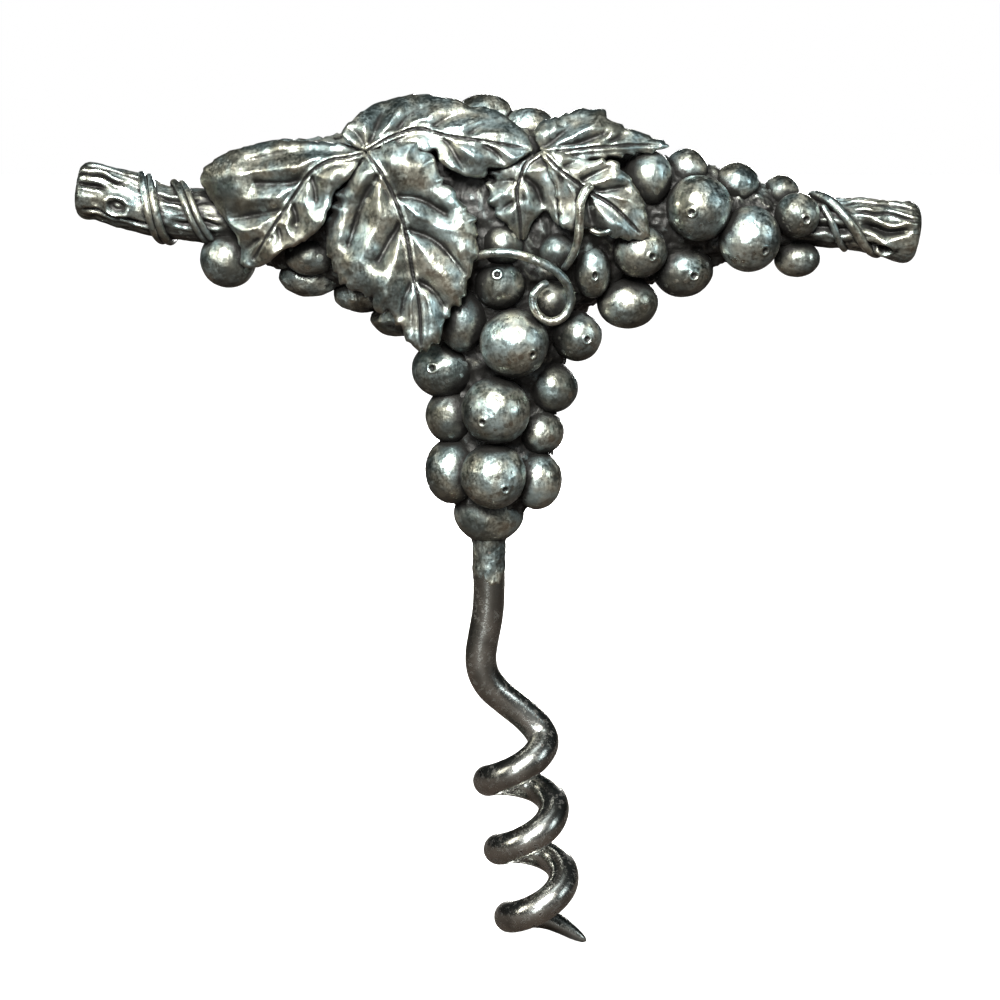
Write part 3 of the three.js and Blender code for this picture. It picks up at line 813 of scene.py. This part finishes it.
# Each binding as the branch it goes round, its strands' distance from the branch's middle, their
# thickness, how far the two strands lie apart, and where it lies (x) after how many turns. A turn
# starts on top and comes down over the front.
leftTendril = {
    "around": leftBranch,
    "clear": 3.72,
    "radius": 0.55,
    "strands": (-0.48, 0.48),
    "turns": [
        (-0.12, -43.9), (0, -43.4), (0.5, -40.9), (1, -39.3), (1.25, -36.9), (1.5, -33.9), (1.6, -33.2),
    ],
}
rightTendril = {
    "around": rightBranch,
    "clear": 3.3,
    "radius": 0.72,
    "strands": (0,),
    "turns": [(-0.5, 38), (0, 41.4), (0.25, 45.6), (0.5, 49.4), (0.62, 50)],
}
crossTendril = {
    "around": rightBranch,
    "clear": 3.15,
    "radius": 0.5,
    "strands": (0,),
    "turns": [(0.12, 41.8), (0.25, 43.2), (0.45, 45), (0.6, 45.6)],
}


def windingPath(winding, aside):
    line = sorted(winding["around"]["line"])
    xs, ys, zs = zip(*line)
    turns, places = zip(*winding["turns"])
    steps = round((turns[-1] - turns[0]) * 20)
    made = []
    for turn in np.linspace(turns[0], turns[-1], steps + 1):
        x = np.interp(turn, turns, places) + aside
        angle = turn * 2 * math.pi
        y = np.interp(x, xs, ys) - winding["clear"] * math.sin(angle)
        z = np.interp(x, xs, zs) + winding["clear"] * math.cos(angle)
        made.append((x, y, z))
    return made


curlLine = [
    (-2.2, -9.5, 37.9), (-1.2, -10, 38.3), (0.2, -10.7, 38.7), (2.9, -11, 38.7), (5.8, -10.8, 37.8),
    (8.3, -10.4, 36.5), (9.8, -10, 34.7), (10.2, -9.6, 32.6), (9.2, -9.7, 30.7), (7.5, -9.9, 30.2),
    (5.9, -9.9, 31.4), (5.5, -10, 33.2), (6.4, -10, 34.5), (7.5, -9.6, 35),
]
leafStemLine = [
    (12.8, -9.6, 47), (11.9, -10.4, 46.3), (11.3, -10.9, 44.8), (11.2, -10.8, 42.5), (11, -10.5, 40.3),
    (10.3, -10, 38.2), (9.2, -9.2, 36.5),
]
leafCurlLine = [(16.1, -9.3, 42.6), (15.2, -9.9, 41.6), (13.8, -10.3, 41.1), (12.4, -10.2, 41.6)]


tendrilCare = {
    "sides": 24,
    "roughen": 0.16,  # mm
    "roughenScale": 520,
    "windingThinning": 0.25,  # share of the thickness lost at the far end
    "curlRadius": 0.56,
    "curlThinning": 0.12,
    "stemRadius": 0.56,
    "stemThinning": 0.2,
    "leafCurlRadius": 0.42,
    "leafCurlThinning": 0.3,
}


def makeTendril(name, line, radius, thinning, *nodes):
    path = smoothPath(line, tendrilStep)
    share = np.linspace(0, 1, len(path))
    radii = roundEnds(path, radius * (1 - thinning * share**2), tendrilStep)
    care = tendrilCare
    rough = (care["roughen"], care["roughenScale"])
    obj = makeBar(name, path, radii, care["sides"], castPewter, *rough)
    return claim(obj, "pewter", *nodes)


for windingName, winding, node in (
    ("left-winding", leftTendril, "left_winding"),
    ("right-winding", rightTendril, "right_winding"),
    ("cross-winding", crossTendril, "right_winding"),
):
    for strand, aside in enumerate(winding["strands"]):
        strandLine = windingPath(winding, aside)
        name = f"{windingName}-{strand + 1}"
        makeTendril(name, strandLine, winding["radius"], tendrilCare["windingThinning"], node)
for name, line, kind, *node in (
    ("curl-tendril", curlLine, "curl", "curl_tendril"),
    ("leaf-stem", leafStemLine, "stem", "leaf_stem"),
    ("leaf-curl", leafCurlLine, "leafCurl"),
):
    makeTendril(name, line, tendrilCare[kind + "Radius"], tendrilCare[kind + "Thinning"], *node)
print("tendrils made")

# Leaves: each lobe is a thick sheet, dense over its outline, draped on the bunch, puffed up
# between its veins, with raised veins, toothed rims and a rolled edge

leafCare = {
    "grain": 0.24,  # spacing of the sheet's points
    "rimGrain": 0.2,
    "toothLength": 2.1,
    "toothDepth": 0.3,
    "puff": 1.75,  # how far the skin stands up between veins
    "puffWidth": 1.35,
    "midrib": 0.62,  # height of the two cords that make the midrib
    "midribApart": 0.27,
    "midribWidth": 0.2,
    "midribThinning": 0.6,
    "rimRoll": 0.55,
    "thickness": 1.5,  # at the rim
    "backSlope": 1.8,  # how fast the sheet thickens away from its rim, to meet the mass behind it
    "backLimit": -1.5,
}

# drape rules: axis, direction, where it starts, over how far, how deep and its power
leaves = {
    "left-lobe": {
        "outline": [
            (-14.9, 50.9), (-17.6, 51.9), (-21.1, 52.2), (-24.3, 52.3), (-27.6, 52.2), (-30.3, 51.5),
            (-32.5, 50.9), (-34.1, 50), (-35.6, 48.8), (-36.1, 47.5), (-35.4, 45.9), (-34.5, 44.5),
            (-33.3, 43), (-32.3, 41.7), (-31.4, 40.2), (-31.1, 38.5), (-31, 36.9), (-29.8, 36.5),
            (-27.7, 37.1), (-26.6, 38), (-25.5, 38.9), (-24.4, 39.3), (-23.2, 39.8), (-21.9, 40.7),
            (-20.9, 41.5), (-20.1, 42.7), (-19.5, 44.4), (-19, 45.8), (-18.2, 46.8), (-17.2, 47.6),
            (-16, 49.3),
        ],
        "veins": [
            [(-15, 50.8), (-17.6, 50.3), (-19.4, 50), (-21.3, 48.9), (-22.6, 47.6), (-24.5, 44.8),
             (-26, 42.7), (-27.3, 40.8), (-29.3, 37.7)],
            [(-23, 47.5), (-25.1, 47.1), (-28.8, 47.1)],
            [(-25.2, 43.9), (-28.1, 43.3), (-32, 42.6)],
            [(-27.2, 40.6), (-29.1, 39.8), (-30.7, 38.5)],
            [(-21.8, 48), (-21.3, 46.6), (-21.1, 45.1)],
            [(-24.3, 44.6), (-23.8, 43.3), (-23.7, 41.9)],
            [(-26.1, 41.8), (-25.7, 40.3), (-25.6, 39.4)],
            [(-17.6, 51.1), (-23.2, 51.1), (-29.6, 49.9)],
        ],
        "base": -10.2,
        "drape": [("x", -1, 16, 18, 5.5, 1.3), ("z", 1, 48, 8, 5, 2)],
        "curls": [(-20.3, 42.6, 3.6, 1.5), (-25, 38.8, 2.8, 0.8), (-31.5, 42, 2.2, 0.6)],
        "care": {"toothDepth": 0.14},
    },
    "main-lobe": {
        "outline": [
            (-14.8, 51), (-16, 49.4), (-17.2, 47.5), (-18.5, 46.1), (-19.3, 44.5), (-19.9, 42.6),
            (-20.2, 40.4), (-19.8, 38.2), (-18.3, 35), (-16.9, 34), (-15.1, 33.6), (-13.9, 31.6),
            (-12.3, 31.4), (-11.3, 29.9), (-10.4, 28.6), (-9.7, 27.4), (-8.3, 26.5), (-7, 27.1),
            (-6.2, 28.2), (-5.5, 29.8), (-5, 30.6), (-4.4, 32.1), (-3.6, 32.1), (-2.9, 33.8),
            (-2.3, 35.9), (-1.8, 37.2), (-1.3, 38.7), (-1.4, 40.5), (-1.6, 42.7), (-3.1, 44.5),
            (-4.1, 46.1), (-5.8, 47.9), (-6.3, 49.4), (-6.9, 50.5), (-7.9, 51.4), (-9.7, 52.2),
            (-12, 52.1),
        ],
        "veins": [
            [(-14.8, 50.8), (-13.1, 48.5), (-11.6, 45.7), (-10.5, 42.7), (-9.8, 39.5), (-9.2, 35.5),
             (-8.6, 32.9), (-8.3, 27.2)],
            [(-11.3, 45.6), (-8.5, 45.3), (-5.3, 43.6)],
            [(-10.1, 41.7), (-6.4, 40.1), (-3.7, 37.2), (-2.9, 36.2)],
            [(-9.1, 35.3), (-7.2, 34.4), (-5.5, 32.1)],
            [(-13.1, 48.5), (-15.1, 45.7), (-16, 43.4), (-17.2, 39.7)],
            [(-10.7, 42.5), (-12.1, 40.3), (-13.5, 37.8)],
            [(-9.4, 35.1), (-10.4, 33.1), (-10.7, 31)],
        ],
        "care": {"toothDepth": 0.55, "toothLength": 2.3},
        "curls": [(-2.5, 38, 4.5, 0.5), (-8, 28, 3, 0.6)],
        "base": -10.3,
        "drape": [("x", -1, 12, 8, 1.8, 1.5), ("z", -1, -34, 10, 1.8, 2), ("x", 1, -6, 6, 1, 2)],
    },
    "upper-lobe": {
        "outline": [
            (-14.8, 51), (-12.6, 51.6), (-10.8, 51.7), (-9.7, 51.1), (-7.7, 50.8), (-6.5, 51.1),
            (-5.9, 49.7), (-4.6, 48.9), (-2.5, 48), (-0.2, 48), (0, 49), (2, 49), (3.3, 49.7),
            (5, 50.8), (5.5, 51.1), (5, 52.7), (4.1, 53.8), (3.2, 54.5), (1.4, 55.8), (-0.4, 56.4),
            (-2.3, 56.5), (-3.8, 57.3), (-5.8, 57.6), (-8.6, 58), (-11.7, 57.5), (-13.4, 57),
            (-14.3, 56.7), (-15.7, 55.8), (-16.8, 54.8), (-17.6, 54), (-18.1, 53.2), (-17.4, 52.3),
            (-16.2, 51.4),
        ],
        "veins": [
            [(-14.8, 51.2), (-11.9, 52.8), (-8.5, 53.8), (-5.3, 53), (-0.6, 52.3), (5, 51.3)],
            [(-11.3, 53), (-10.4, 54.6), (-8.4, 56.2)],
            [(-7.2, 53.6), (-5, 55), (-2.3, 55.8)],
            [(-2.9, 52.6), (-0.8, 54.1), (2.1, 54.8)],
            [(-5.9, 53.1), (-4.4, 51.2), (-3.2, 49)],
            [(-1.3, 52.3), (0.5, 51.2), (2, 49.7)],
            [(-14.7, 51.2), (-13.8, 53.8), (-12.8, 56.2)],
            [(-15, 51.3), (-16, 53), (-17, 53.8)],
        ],
        "base": -10,
        "drape": [("z", 1, 50, 8, 6, 2), ("x", 1, -6, 10, 0.8, 1)],
        "curls": [(-4, 48.6, 3.0, 0.8), (3.5, 51, 2.5, 0.6)],
        "care": {"toothDepth": 0.12},
    },
    "right-upper-lobe": {
        "outline": [
            (6.5, 51.1), (8.8, 50.2), (11.3, 49.6), (13.7, 50), (15.5, 50.2), (18.2, 50.7), (21.1, 51),
            (22.4, 51.8), (20.6, 52.6), (18.7, 53.4), (17, 53.9), (15.4, 54.8), (14.2, 55.9),
            (12.6, 56.2), (10.7, 56), (8.8, 55.3), (7.4, 54.9), (6.1, 54.3), (5.6, 52.9),
        ],
        "veins": [
            [(6.5, 50.9), (10.3, 51.2), (13, 51.5), (18.7, 51.8), (21.2, 51.7)],
            [(6.5, 51.1), (8.7, 52.9), (10.3, 54.1), (11.6, 55.1)],
            [(8.8, 51.4), (11.3, 52), (14.2, 53.1)],
            [(13.7, 51.5), (15.6, 52.4), (16.8, 53.2)],
        ],
        "base": -9,
        "drape": [("z", 1, 51, 6, 5, 2), ("x", 1, 12, 10, 2.5, 1.5)],
    },
    "right-lower-lobe": {
        "outline": [
            (6.5, 51.1), (7, 49.4), (7.8, 47.5), (8.3, 45.7), (8.7, 43.6), (8.8, 42.1), (10.2, 41.4),
            (12.3, 41.7), (14.3, 41.1), (16.2, 40.4), (19.9, 40.4), (19.7, 42.6), (19.3, 44.7),
            (18.4, 46.3), (17.4, 47.8), (16.5, 48.9), (15.2, 50), (13.1, 50), (10.6, 50.5), (8.3, 51.2),
        ],
        "veins": [
            [(6.5, 51.1), (8.7, 48.9), (10.6, 47.5), (12.2, 46.3), (15.2, 44.5), (18.7, 41.1)],
            [(9, 49), (10.3, 49.7), (12.1, 50.5)],
            [(11.3, 47.4), (13, 48.3), (14.6, 49)],
            [(12.5, 46), (14.3, 46.3), (16.8, 46.7)],
            [(8.7, 48.9), (9.1, 46.3), (9.2, 43.3)],
            [(12.2, 46.2), (12.3, 44.1), (12.8, 42.1)],
        ],
        "base": -9.6,
        "drape": [("x", 1, 12, 9, 1.5, 2)],
    },
    "right-centre-lobe": {
        "outline": [
            (6.5, 51), (5.7, 50.6), (3.9, 50.2), (2.1, 49.3), (0.2, 48.4), (0.7, 47.5), (-0.2, 47.1),
            (0.1, 45.7), (-0.2, 44.9), (0.7, 44.3), (0.8, 43.3), (1.4, 42.7), (2.3, 42.1), (2.9, 40.9),
            (4.2, 39.9), (4.7, 40.9), (5.3, 42), (6.1, 43.1), (7, 43.7), (7.6, 43.2), (8.7, 41.9),
            (9.1, 43.8), (9.1, 46.3), (8.3, 48.5), (7.3, 50.2),
        ],
        "veins": [
            [(6.1, 50.8), (4.6, 49.6), (3.8, 47.5), (3.5, 46.3), (3.9, 42.6), (4, 40.4)],
            [(3.7, 47.3), (2.2, 47.5), (0.7, 47)],
            [(3.7, 45.1), (2.4, 44.5), (1.4, 43.6)],
            [(4.1, 48.1), (5.7, 46.9), (6.7, 44.5)],
        ],
        "base": -8.7,
        "drape": [("z", -1, -44, 6, 0.8, 1)],
    },
    "back-leaf": {
        "outline": [
            (12, 52.5), (5, 53.5), (-2, 53), (-9, 54), (-15, 52.5), (-21, 49), (-18, 44.5), (-13, 44),
            (-14, 38), (-10, 33.5), (-4, 35), (-1.5, 30.5), (3, 33), (6, 37), (11, 35.5), (13.5, 39.5),
            (18, 41), (21, 46), (18, 50.5),
        ],
        "veins": [
            [(8, 50), (4, 45), (0.5, 39), (-1.2, 32)],
            [(8, 50), (0, 49.5), (-9, 48.5), (-19.5, 48.5)],
            [(8, 50), (2, 51.6), (-5, 52.8)],
            [(8, 50), (12, 46), (19.5, 45.5)],
            [(8, 50), (8.5, 43), (10.5, 37)],
            [(4, 45), (-3, 41.5), (-11, 36.5)],
            [(0, 49.5), (-6, 45.5), (-13, 45)],
            [(1.5, 41), (-3, 38), (-5.5, 36)],
            [(-6, 48.8), (-10, 50.4), (-14, 51.8)],
            [(10, 48), (14, 49), (17, 49.5)],
        ],
        "base": -9,
        "drape": [("z", 1, 49, 9, 6, 2), ("x", 1, 4, 17, 5, 1.5), ("x", -1, 12, 12, 3, 1.5)],
        "side": -1,
    },
}


def segmentDistances(points, line):
    # the least distance from each point to a line of points
    best = np.full(len(points), 1e9)
    for a, b in zip(line[:-1], line[1:]):
        way = b - a
        share = np.clip(((points - a) @ way) / max(1e-12, way @ way), 0, 1)
        gap = points - (a + share[:, None] * way)
        best = np.minimum(best, np.hypot(gap[:, 0], gap[:, 1]))
    return best


def insideOutline(points, outline):
    x, y = points[:, 0], points[:, 1]
    inside = np.zeros(len(points), bool)
    for (ax, ay), (bx, by) in zip(outline, np.roll(outline, -1, axis=0)):
        crosses = (ay > y) != (by > y)
        edge = (bx - ax) * (y - ay) / (by - ay + 1e-12) + ax
        inside ^= crosses & (x < edge)
    return inside


def toothedOutline(outline, tipWay, care):
    rim = smoothPath(outline, care["rimGrain"], closed=True)
    ways = np.roll(rim, -1, axis=0) - np.roll(rim, 1, axis=0)
    ways /= np.linalg.norm(ways, axis=1)[:, None]
    outwards = np.stack([ways[:, 1], -ways[:, 0]], axis=1)
    run = np.arange(len(rim)) * care["rimGrain"]
    count = max(1, round(run[-1] / care["toothLength"]))
    drift = np.array([0.9 * wobble(a, 4, b, 0.22, 3) for a, b in rim])
    phase = (run / run[-1] * count + drift) % 1
    # the teeth point to the lobe's tip
    phase = np.where(ways @ tipWay > 0, phase, 1 - phase)
    tooth = np.where(phase < 0.8, phase / 0.8, (1 - phase) / 0.2)
    rough = np.array([1 + 1.6 * wobble(a, 1, b, 0.35, 8) for a, b in rim])
    return rim + outwards * ((tooth - 0.5) * care["toothDepth"] * rough)[:, None]


def drapeOf(leaf, x, z):
    y = np.full(len(x), float(leaf["base"]))
    for axis, direction, start, reach, depth, power in leaf["drape"]:
        value = (x if axis == "x" else z) * direction
        y += depth * np.maximum(0, (value - start) / reach) ** power
    return y


def makeLeaf(name, leaf, node, material, care=leafCare):
    midrib = np.array(leaf["veins"][0])
    rim = toothedOutline(leaf["outline"], midrib[-1] - midrib[0], {**care, **leaf.get("care", {})})
    low, high = rim.min(axis=0), rim.max(axis=0)
    step = care["grain"]
    rows = []
    for k, z in enumerate(np.arange(low[1], high[1], step * 0.87)):
        xs = np.arange(low[0] + (k % 2) * step / 2, high[0], step)
        rows.append(np.stack([xs, np.full(len(xs), z)], axis=1))
    inner = np.vstack(rows)
    inner = inner[insideOutline(inner, rim)]
    closedRim = np.vstack([rim, rim[:1]])
    inner = inner[segmentDistances(inner, closedRim) > step * 0.45]
    flat = np.vstack([rim, inner])
    loop = [list(range(len(rim)))]
    verts, _, triangles, _, _, _ = delaunay_2d_cdt([Vector(p) for p in flat], [], loop, 1, 1e-6)
    flat = np.array([tuple(v) for v in verts])
    x, z = flat[:, 0], flat[:, 1]

    veins = [smoothPath(v, 0.5) for v in leaf["veins"]]
    toMid = segmentDistances(flat, veins[0])
    toSide = np.min([segmentDistances(flat, v) for v in veins[1:]], axis=0)
    toVein = np.minimum(toMid, toSide)
    toRim = segmentDistances(flat, closedRim)
    puff = 1 - np.exp(-((toVein / care["puffWidth"]) ** 1.1))
    puff *= 1 - np.exp(-((toRim / 1.3) ** 2)) * 0.7
    relief = care["puff"] * puff
    cords = np.exp(-(((toMid - care["midribApart"]) / care["midribWidth"]) ** 2))
    fromStalk = np.hypot(x - midrib[0][0], z - midrib[0][1])
    relief += care["midrib"] * cords * (1 - care["midribThinning"] * fromStalk / fromStalk.max())
    for curlX, curlZ, reach, lift in leaf.get("curls", []):
        near = np.exp(-((x - curlX) ** 2 + (z - curlZ) ** 2) / reach**2)
        relief += lift * near * np.exp(-((toRim / 1.4) ** 2))
    waves = np.array([wobble(a, 0, b, 0.2, 5) * 0.9 + wobble(a, 3, b, 0.7, 2) * 0.16 for a, b in flat])
    relief += waves
    roll = care["rimRoll"]
    edge = np.clip(1 - toRim / roll, 0, 1)
    front = drapeOf(leaf, x, z) - relief + roll * (1 - np.sqrt(1 - edge**2 * 0.98))
    back = drapeOf(leaf, x, z) + care["thickness"]
    back = np.maximum(back, np.minimum(back + care["backSlope"] * toRim, care["backLimit"]))
    side = leaf.get("side", 1)
    count = len(flat)
    points = [(a, side * y, b) for (a, b), y in zip(flat, front)]
    points += [(a, side * y, b) for (a, b), y in zip(flat, back)]
    faces = []
    border = {}
    for tri in triangles:
        (ax, az), (bx, bz), (cx, cz) = flat[tri[0]], flat[tri[1]], flat[tri[2]]
        turn = (bx - ax) * (cz - az) - (cx - ax) * (bz - az)
        a, b, c = tri if turn > 0 else (tri[0], tri[2], tri[1])
        faces.append((a, b, c))
        faces.append((count + a, count + c, count + b))
        for pair in ((a, b), (b, c), (c, a)):
            if (pair[1], pair[0]) in border:
                del border[(pair[1], pair[0])]
            else:
                border[pair] = True
    for a, b in border:
        faces.append((b, a, count + a, count + b))
    if side < 0:
        faces = [f[::-1] for f in faces]
    return finishPiece(name, placed(points), faces, material, "pewter", node)


leaves["back-left-lobe"] = {**leaves["left-lobe"], "side": -1, "base": -8.8}

leafNodes = {"right": "small_leaf", "back": "back_leaf"}  # by the name's first word, else the large leaf
# painted shade: the upper and right leaves take the darker copy of the leaf metal
shadedLeaves = ("upper", "right")
for leafName, leafShape in leaves.items():
    firstWord = leafName.split("-")[0]
    metal = shadedPewter if firstWord in shadedLeaves else leafPewter
    made = makeLeaf(leafName, leafShape, leafNodes.get(firstWord, "large_leaf"), metal)
    print(leafName, len(made.data.polygons), "faces")

# The mass behind the leaves and grapes, rough and blackened

bunchCore = {
    "stations": [
        (-34, 42.6, 2.2, 2.2), (-29, 43.4, 6.6, 4.8), (-20, 43.4, 9.4, 6.4), (-12, 42.2, 11.9, 7.4),
        (-7, 41.8, 13.2, 7.6), (1.5, 41.8, 13.2, 7.8), (9, 41.8, 11.9, 7.4), (19, 42.4, 8.6, 6.4),
        (29, 42.6, 6.2, 5), (38, 41.8, 3.8, 3.4), (42, 41.9, 1.4, 1.8),
    ],
    "spacing": 0.4,
    "sides": 128,
}
columnCore = {
    "stations": [
        (0, 2.2, 2.4, 2.4), (0.4, 5, 4.6, 3.4), (1, 8.3, 7.4, 4), (1.1, 13.5, 7.3, 4.4),
        (1.2, 19, 7.9, 4.8), (1.5, 25, 8.6, 5.4), (1.6, 30, 9.6, 6), (1.4, 35, 10.5, 6.4),
    ],
    "spacing": 0.4,
    "sides": 96,
}


def coreSkin(rows, sides, place):
    # lofts ellipses and roughens them with a lumpy, granular noise
    points = []
    for row in rows:
        for i in range(sides):
            angle = i / sides * 2 * math.pi
            p = place(row, math.cos(angle), math.sin(angle), 0)
            bumps = 0.55 * wobble(*p, 0.55, 3) + 0.35 * wobble(*p, 1.6, 7) + 0.12 * wobble(*p, 4, 1)
            points.append(place(row, math.cos(angle), math.sin(angle), bumps - 0.1))
    faces = gridFaces(len(rows), sides)
    last = (len(rows) - 1) * sides
    points += [place(rows[0], 0, 0, 0), place(rows[-1], 0, 0, 0)]
    for i in range(sides):
        j = (i + 1) % sides
        faces += [(len(points) - 2, j, i), (len(points) - 1, last + i, last + j)]
    return points, faces


def makeCores():
    rows = smoothPath(bunchCore["stations"], bunchCore["spacing"])

    def acrossBunch(row, c, s, out):
        x, z, halfHeight, halfDepth = row
        return (x, (halfDepth + out) * c, z + (halfHeight + out) * s)

    points, faces = coreSkin(rows, bunchCore["sides"], acrossBunch)
    finishPiece("bunch-core", placed(points), faces, blackenedPewter, "dark_pewter", "bunch_core")
    rows = smoothPath(columnCore["stations"], columnCore["spacing"])

    def acrossColumn(row, c, s, out):
        x, z, halfWidth, halfDepth = row
        return (x + (halfWidth + out) * c, (halfDepth + out) * s, z)

    points, faces = coreSkin(rows, columnCore["sides"], acrossColumn)
    finishPiece("column-core", placed(points), faces, blackenedPewter, "dark_pewter", "column_core")


makeCores()
print("cores made")

neckSleeve = {
    "radius": 2.16,
    "wall": 0.3,
    "top": 1.3,
    "shortest": -3.3,
    "longest": -5.0,
    "sides": 120,
    "rows": 40,
}


def makeSleeve():
    size = neckSleeve
    sides, rows = size["sides"], size["rows"]
    points = []
    for inside in (False, True):
        for r in range(rows):
            share = r / (rows - 1)
            for i in range(sides):
                angle = i / sides * 2 * math.pi
                c, s = math.cos(angle), math.sin(angle)
                ragged = noise.noise(Vector((c * 1.3, s * 1.3, 4)))
                ragged += 0.6 * noise.noise(Vector((c * 4, s * 4, 9)))
                spread = size["shortest"] - size["longest"]
                low = (size["shortest"] + size["longest"]) / 2 + ragged * spread
                low = max(size["longest"], low)
                z = low + (size["top"] - low) * share
                skin = 0.16 * noise.noise(Vector((c * 3, s * 3, z * 0.8)))
                skin += 0.05 * noise.noise(Vector((c * 9, s * 9, z * 3)))
                thin = min(1.0, share * rows / 3)
                radius = size["radius"] + skin - (1 - math.sqrt(thin)) * 0.16
                radius += 0.25 * max(0, share - 0.82) / 0.18
                if inside:
                    radius = size["radius"] - size["wall"]
                points.append((radius * c, radius * s, z))
    outer = gridFaces(rows, sides)
    inner = [tuple(rows * sides + k for k in f[::-1]) for f in gridFaces(rows, sides)]
    faces = outer + inner
    last = (rows - 1) * sides
    shift = rows * sides
    for i in range(sides):
        j = (i + 1) % sides
        faces.append((j, i, shift + i, shift + j))
        faces.append((last + i, last + j, shift + last + j, shift + last + i))
    finishPiece("neck-sleeve", placed(points), faces, castPewter, "pewter", "neck_sleeve")


makeSleeve()
print("sleeve made")

# Studio: pale floor and backdrop, soft lights; the metal mirrors a dim room

studio = {
    "floorColor": (0.97, 0.97, 0.965),
    "mirroredFloor": (0.022, 0.013, 0.008),
    "roomTop": (0.010, 0.014, 0.015),
    "roomLow": (0.009, 0.006, 0.004),
    "backdrop": 1.0,
    "floorLight": 1.25,
    "lights": [
        # name, place as a way from the object, distance, width, height, watts, colour
        ("key", (-0.14, -1.0, 0.66), 0.50, 0.20, 0.18, 10.5, (1.0, 1.0, 0.97)),
        ("low", (-0.22, -1.0, 0.04), 0.60, 0.09, 0.14, 0.6, (0.90, 0.97, 1.0)),
        ("top", (0.1, -0.25, 1.0), 0.50, 0.18, 0.14, 0.25, (0.90, 0.98, 1.0)),
        ("left", (-1.0, -0.45, 0.45), 0.55, 0.12, 0.22, 0.8, (1.0, 0.96, 0.84)),
        ("right", (1.0, -0.55, 0.35), 0.60, 0.10, 0.22, 0.6, (0.84, 0.96, 1.0)),
        ("rear", (0.15, 1.0, 0.12), 0.50, 0.24, 0.12, 4.0, (1.0, 1.0, 0.98)),
    ],
}


def floorMaterial():
    material = bpy.data.materials.new("paleFloor")
    material.use_nodes = True
    tree = material.node_tree
    shader = tree.nodes["Principled BSDF"]
    shader.inputs["Roughness"].default_value = 0.9
    seen = tree.nodes.new("ShaderNodeLightPath").outputs["Is Camera Ray"]
    color = mixColor(tree, seen, studio["mirroredFloor"], studio["floorColor"])
    join(tree, color, shader.inputs["Base Color"])
    return material


def makeStudio():
    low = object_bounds()[0]
    half = 3.0
    corners = [(-half, -half), (half, -half), (half, half), (-half, half)]
    mesh = bpy.data.meshes.new("floor")
    mesh.from_pydata([(x, y, low.z) for x, y in corners], [], [(0, 1, 2, 3)])
    mesh.materials.append(floorMaterial())
    floor = bpy.data.objects.new("floor", mesh)
    bpy.context.collection.objects.link(floor)
    centre = at(0, 0, 25)
    for name, way, distance, width, height, watts, color in studio["lights"]:
        data = bpy.data.lights.new(name, "AREA")
        data.shape = "RECTANGLE"
        data.size, data.size_y = width, height
        data.energy = watts
        data.color = color
        lamp = bpy.data.objects.new(name, data)
        bpy.context.collection.objects.link(lamp)
        out = Vector(way).normalized()
        lamp.location = centre + out * distance
        lamp.rotation_euler = (-out).to_track_quat("-Z", "Y").to_euler()
    world = bpy.data.worlds.new("room")
    bpy.context.scene.world = world
    world.use_nodes = True
    tree = world.node_tree
    background = tree.nodes["Background"]
    height = addNode(tree, "ShaderNodeSeparateXYZ")
    join(tree, tree.nodes.new("ShaderNodeTexCoord").outputs["Generated"], height.inputs[0])
    upwards = mapRange(tree, height.outputs["Z"], -0.3, 0.5)
    room = mixColor(tree, upwards, studio["roomLow"], studio["roomTop"])
    # the metal mirrors the dim room, while the floor and the eye are given a pale one
    paths = tree.nodes.new("ShaderNodeLightPath").outputs
    lit = mixColor(tree, paths["Is Diffuse Ray"], room, (studio["floorLight"],) * 3)
    seen = mixColor(tree, paths["Is Camera Ray"], lit, (studio["backdrop"],) * 3)
    join(tree, seen, background.inputs["Color"])
    bpy.context.scene.view_settings.view_transform = "Standard"


makeStudio()
print("studio made")
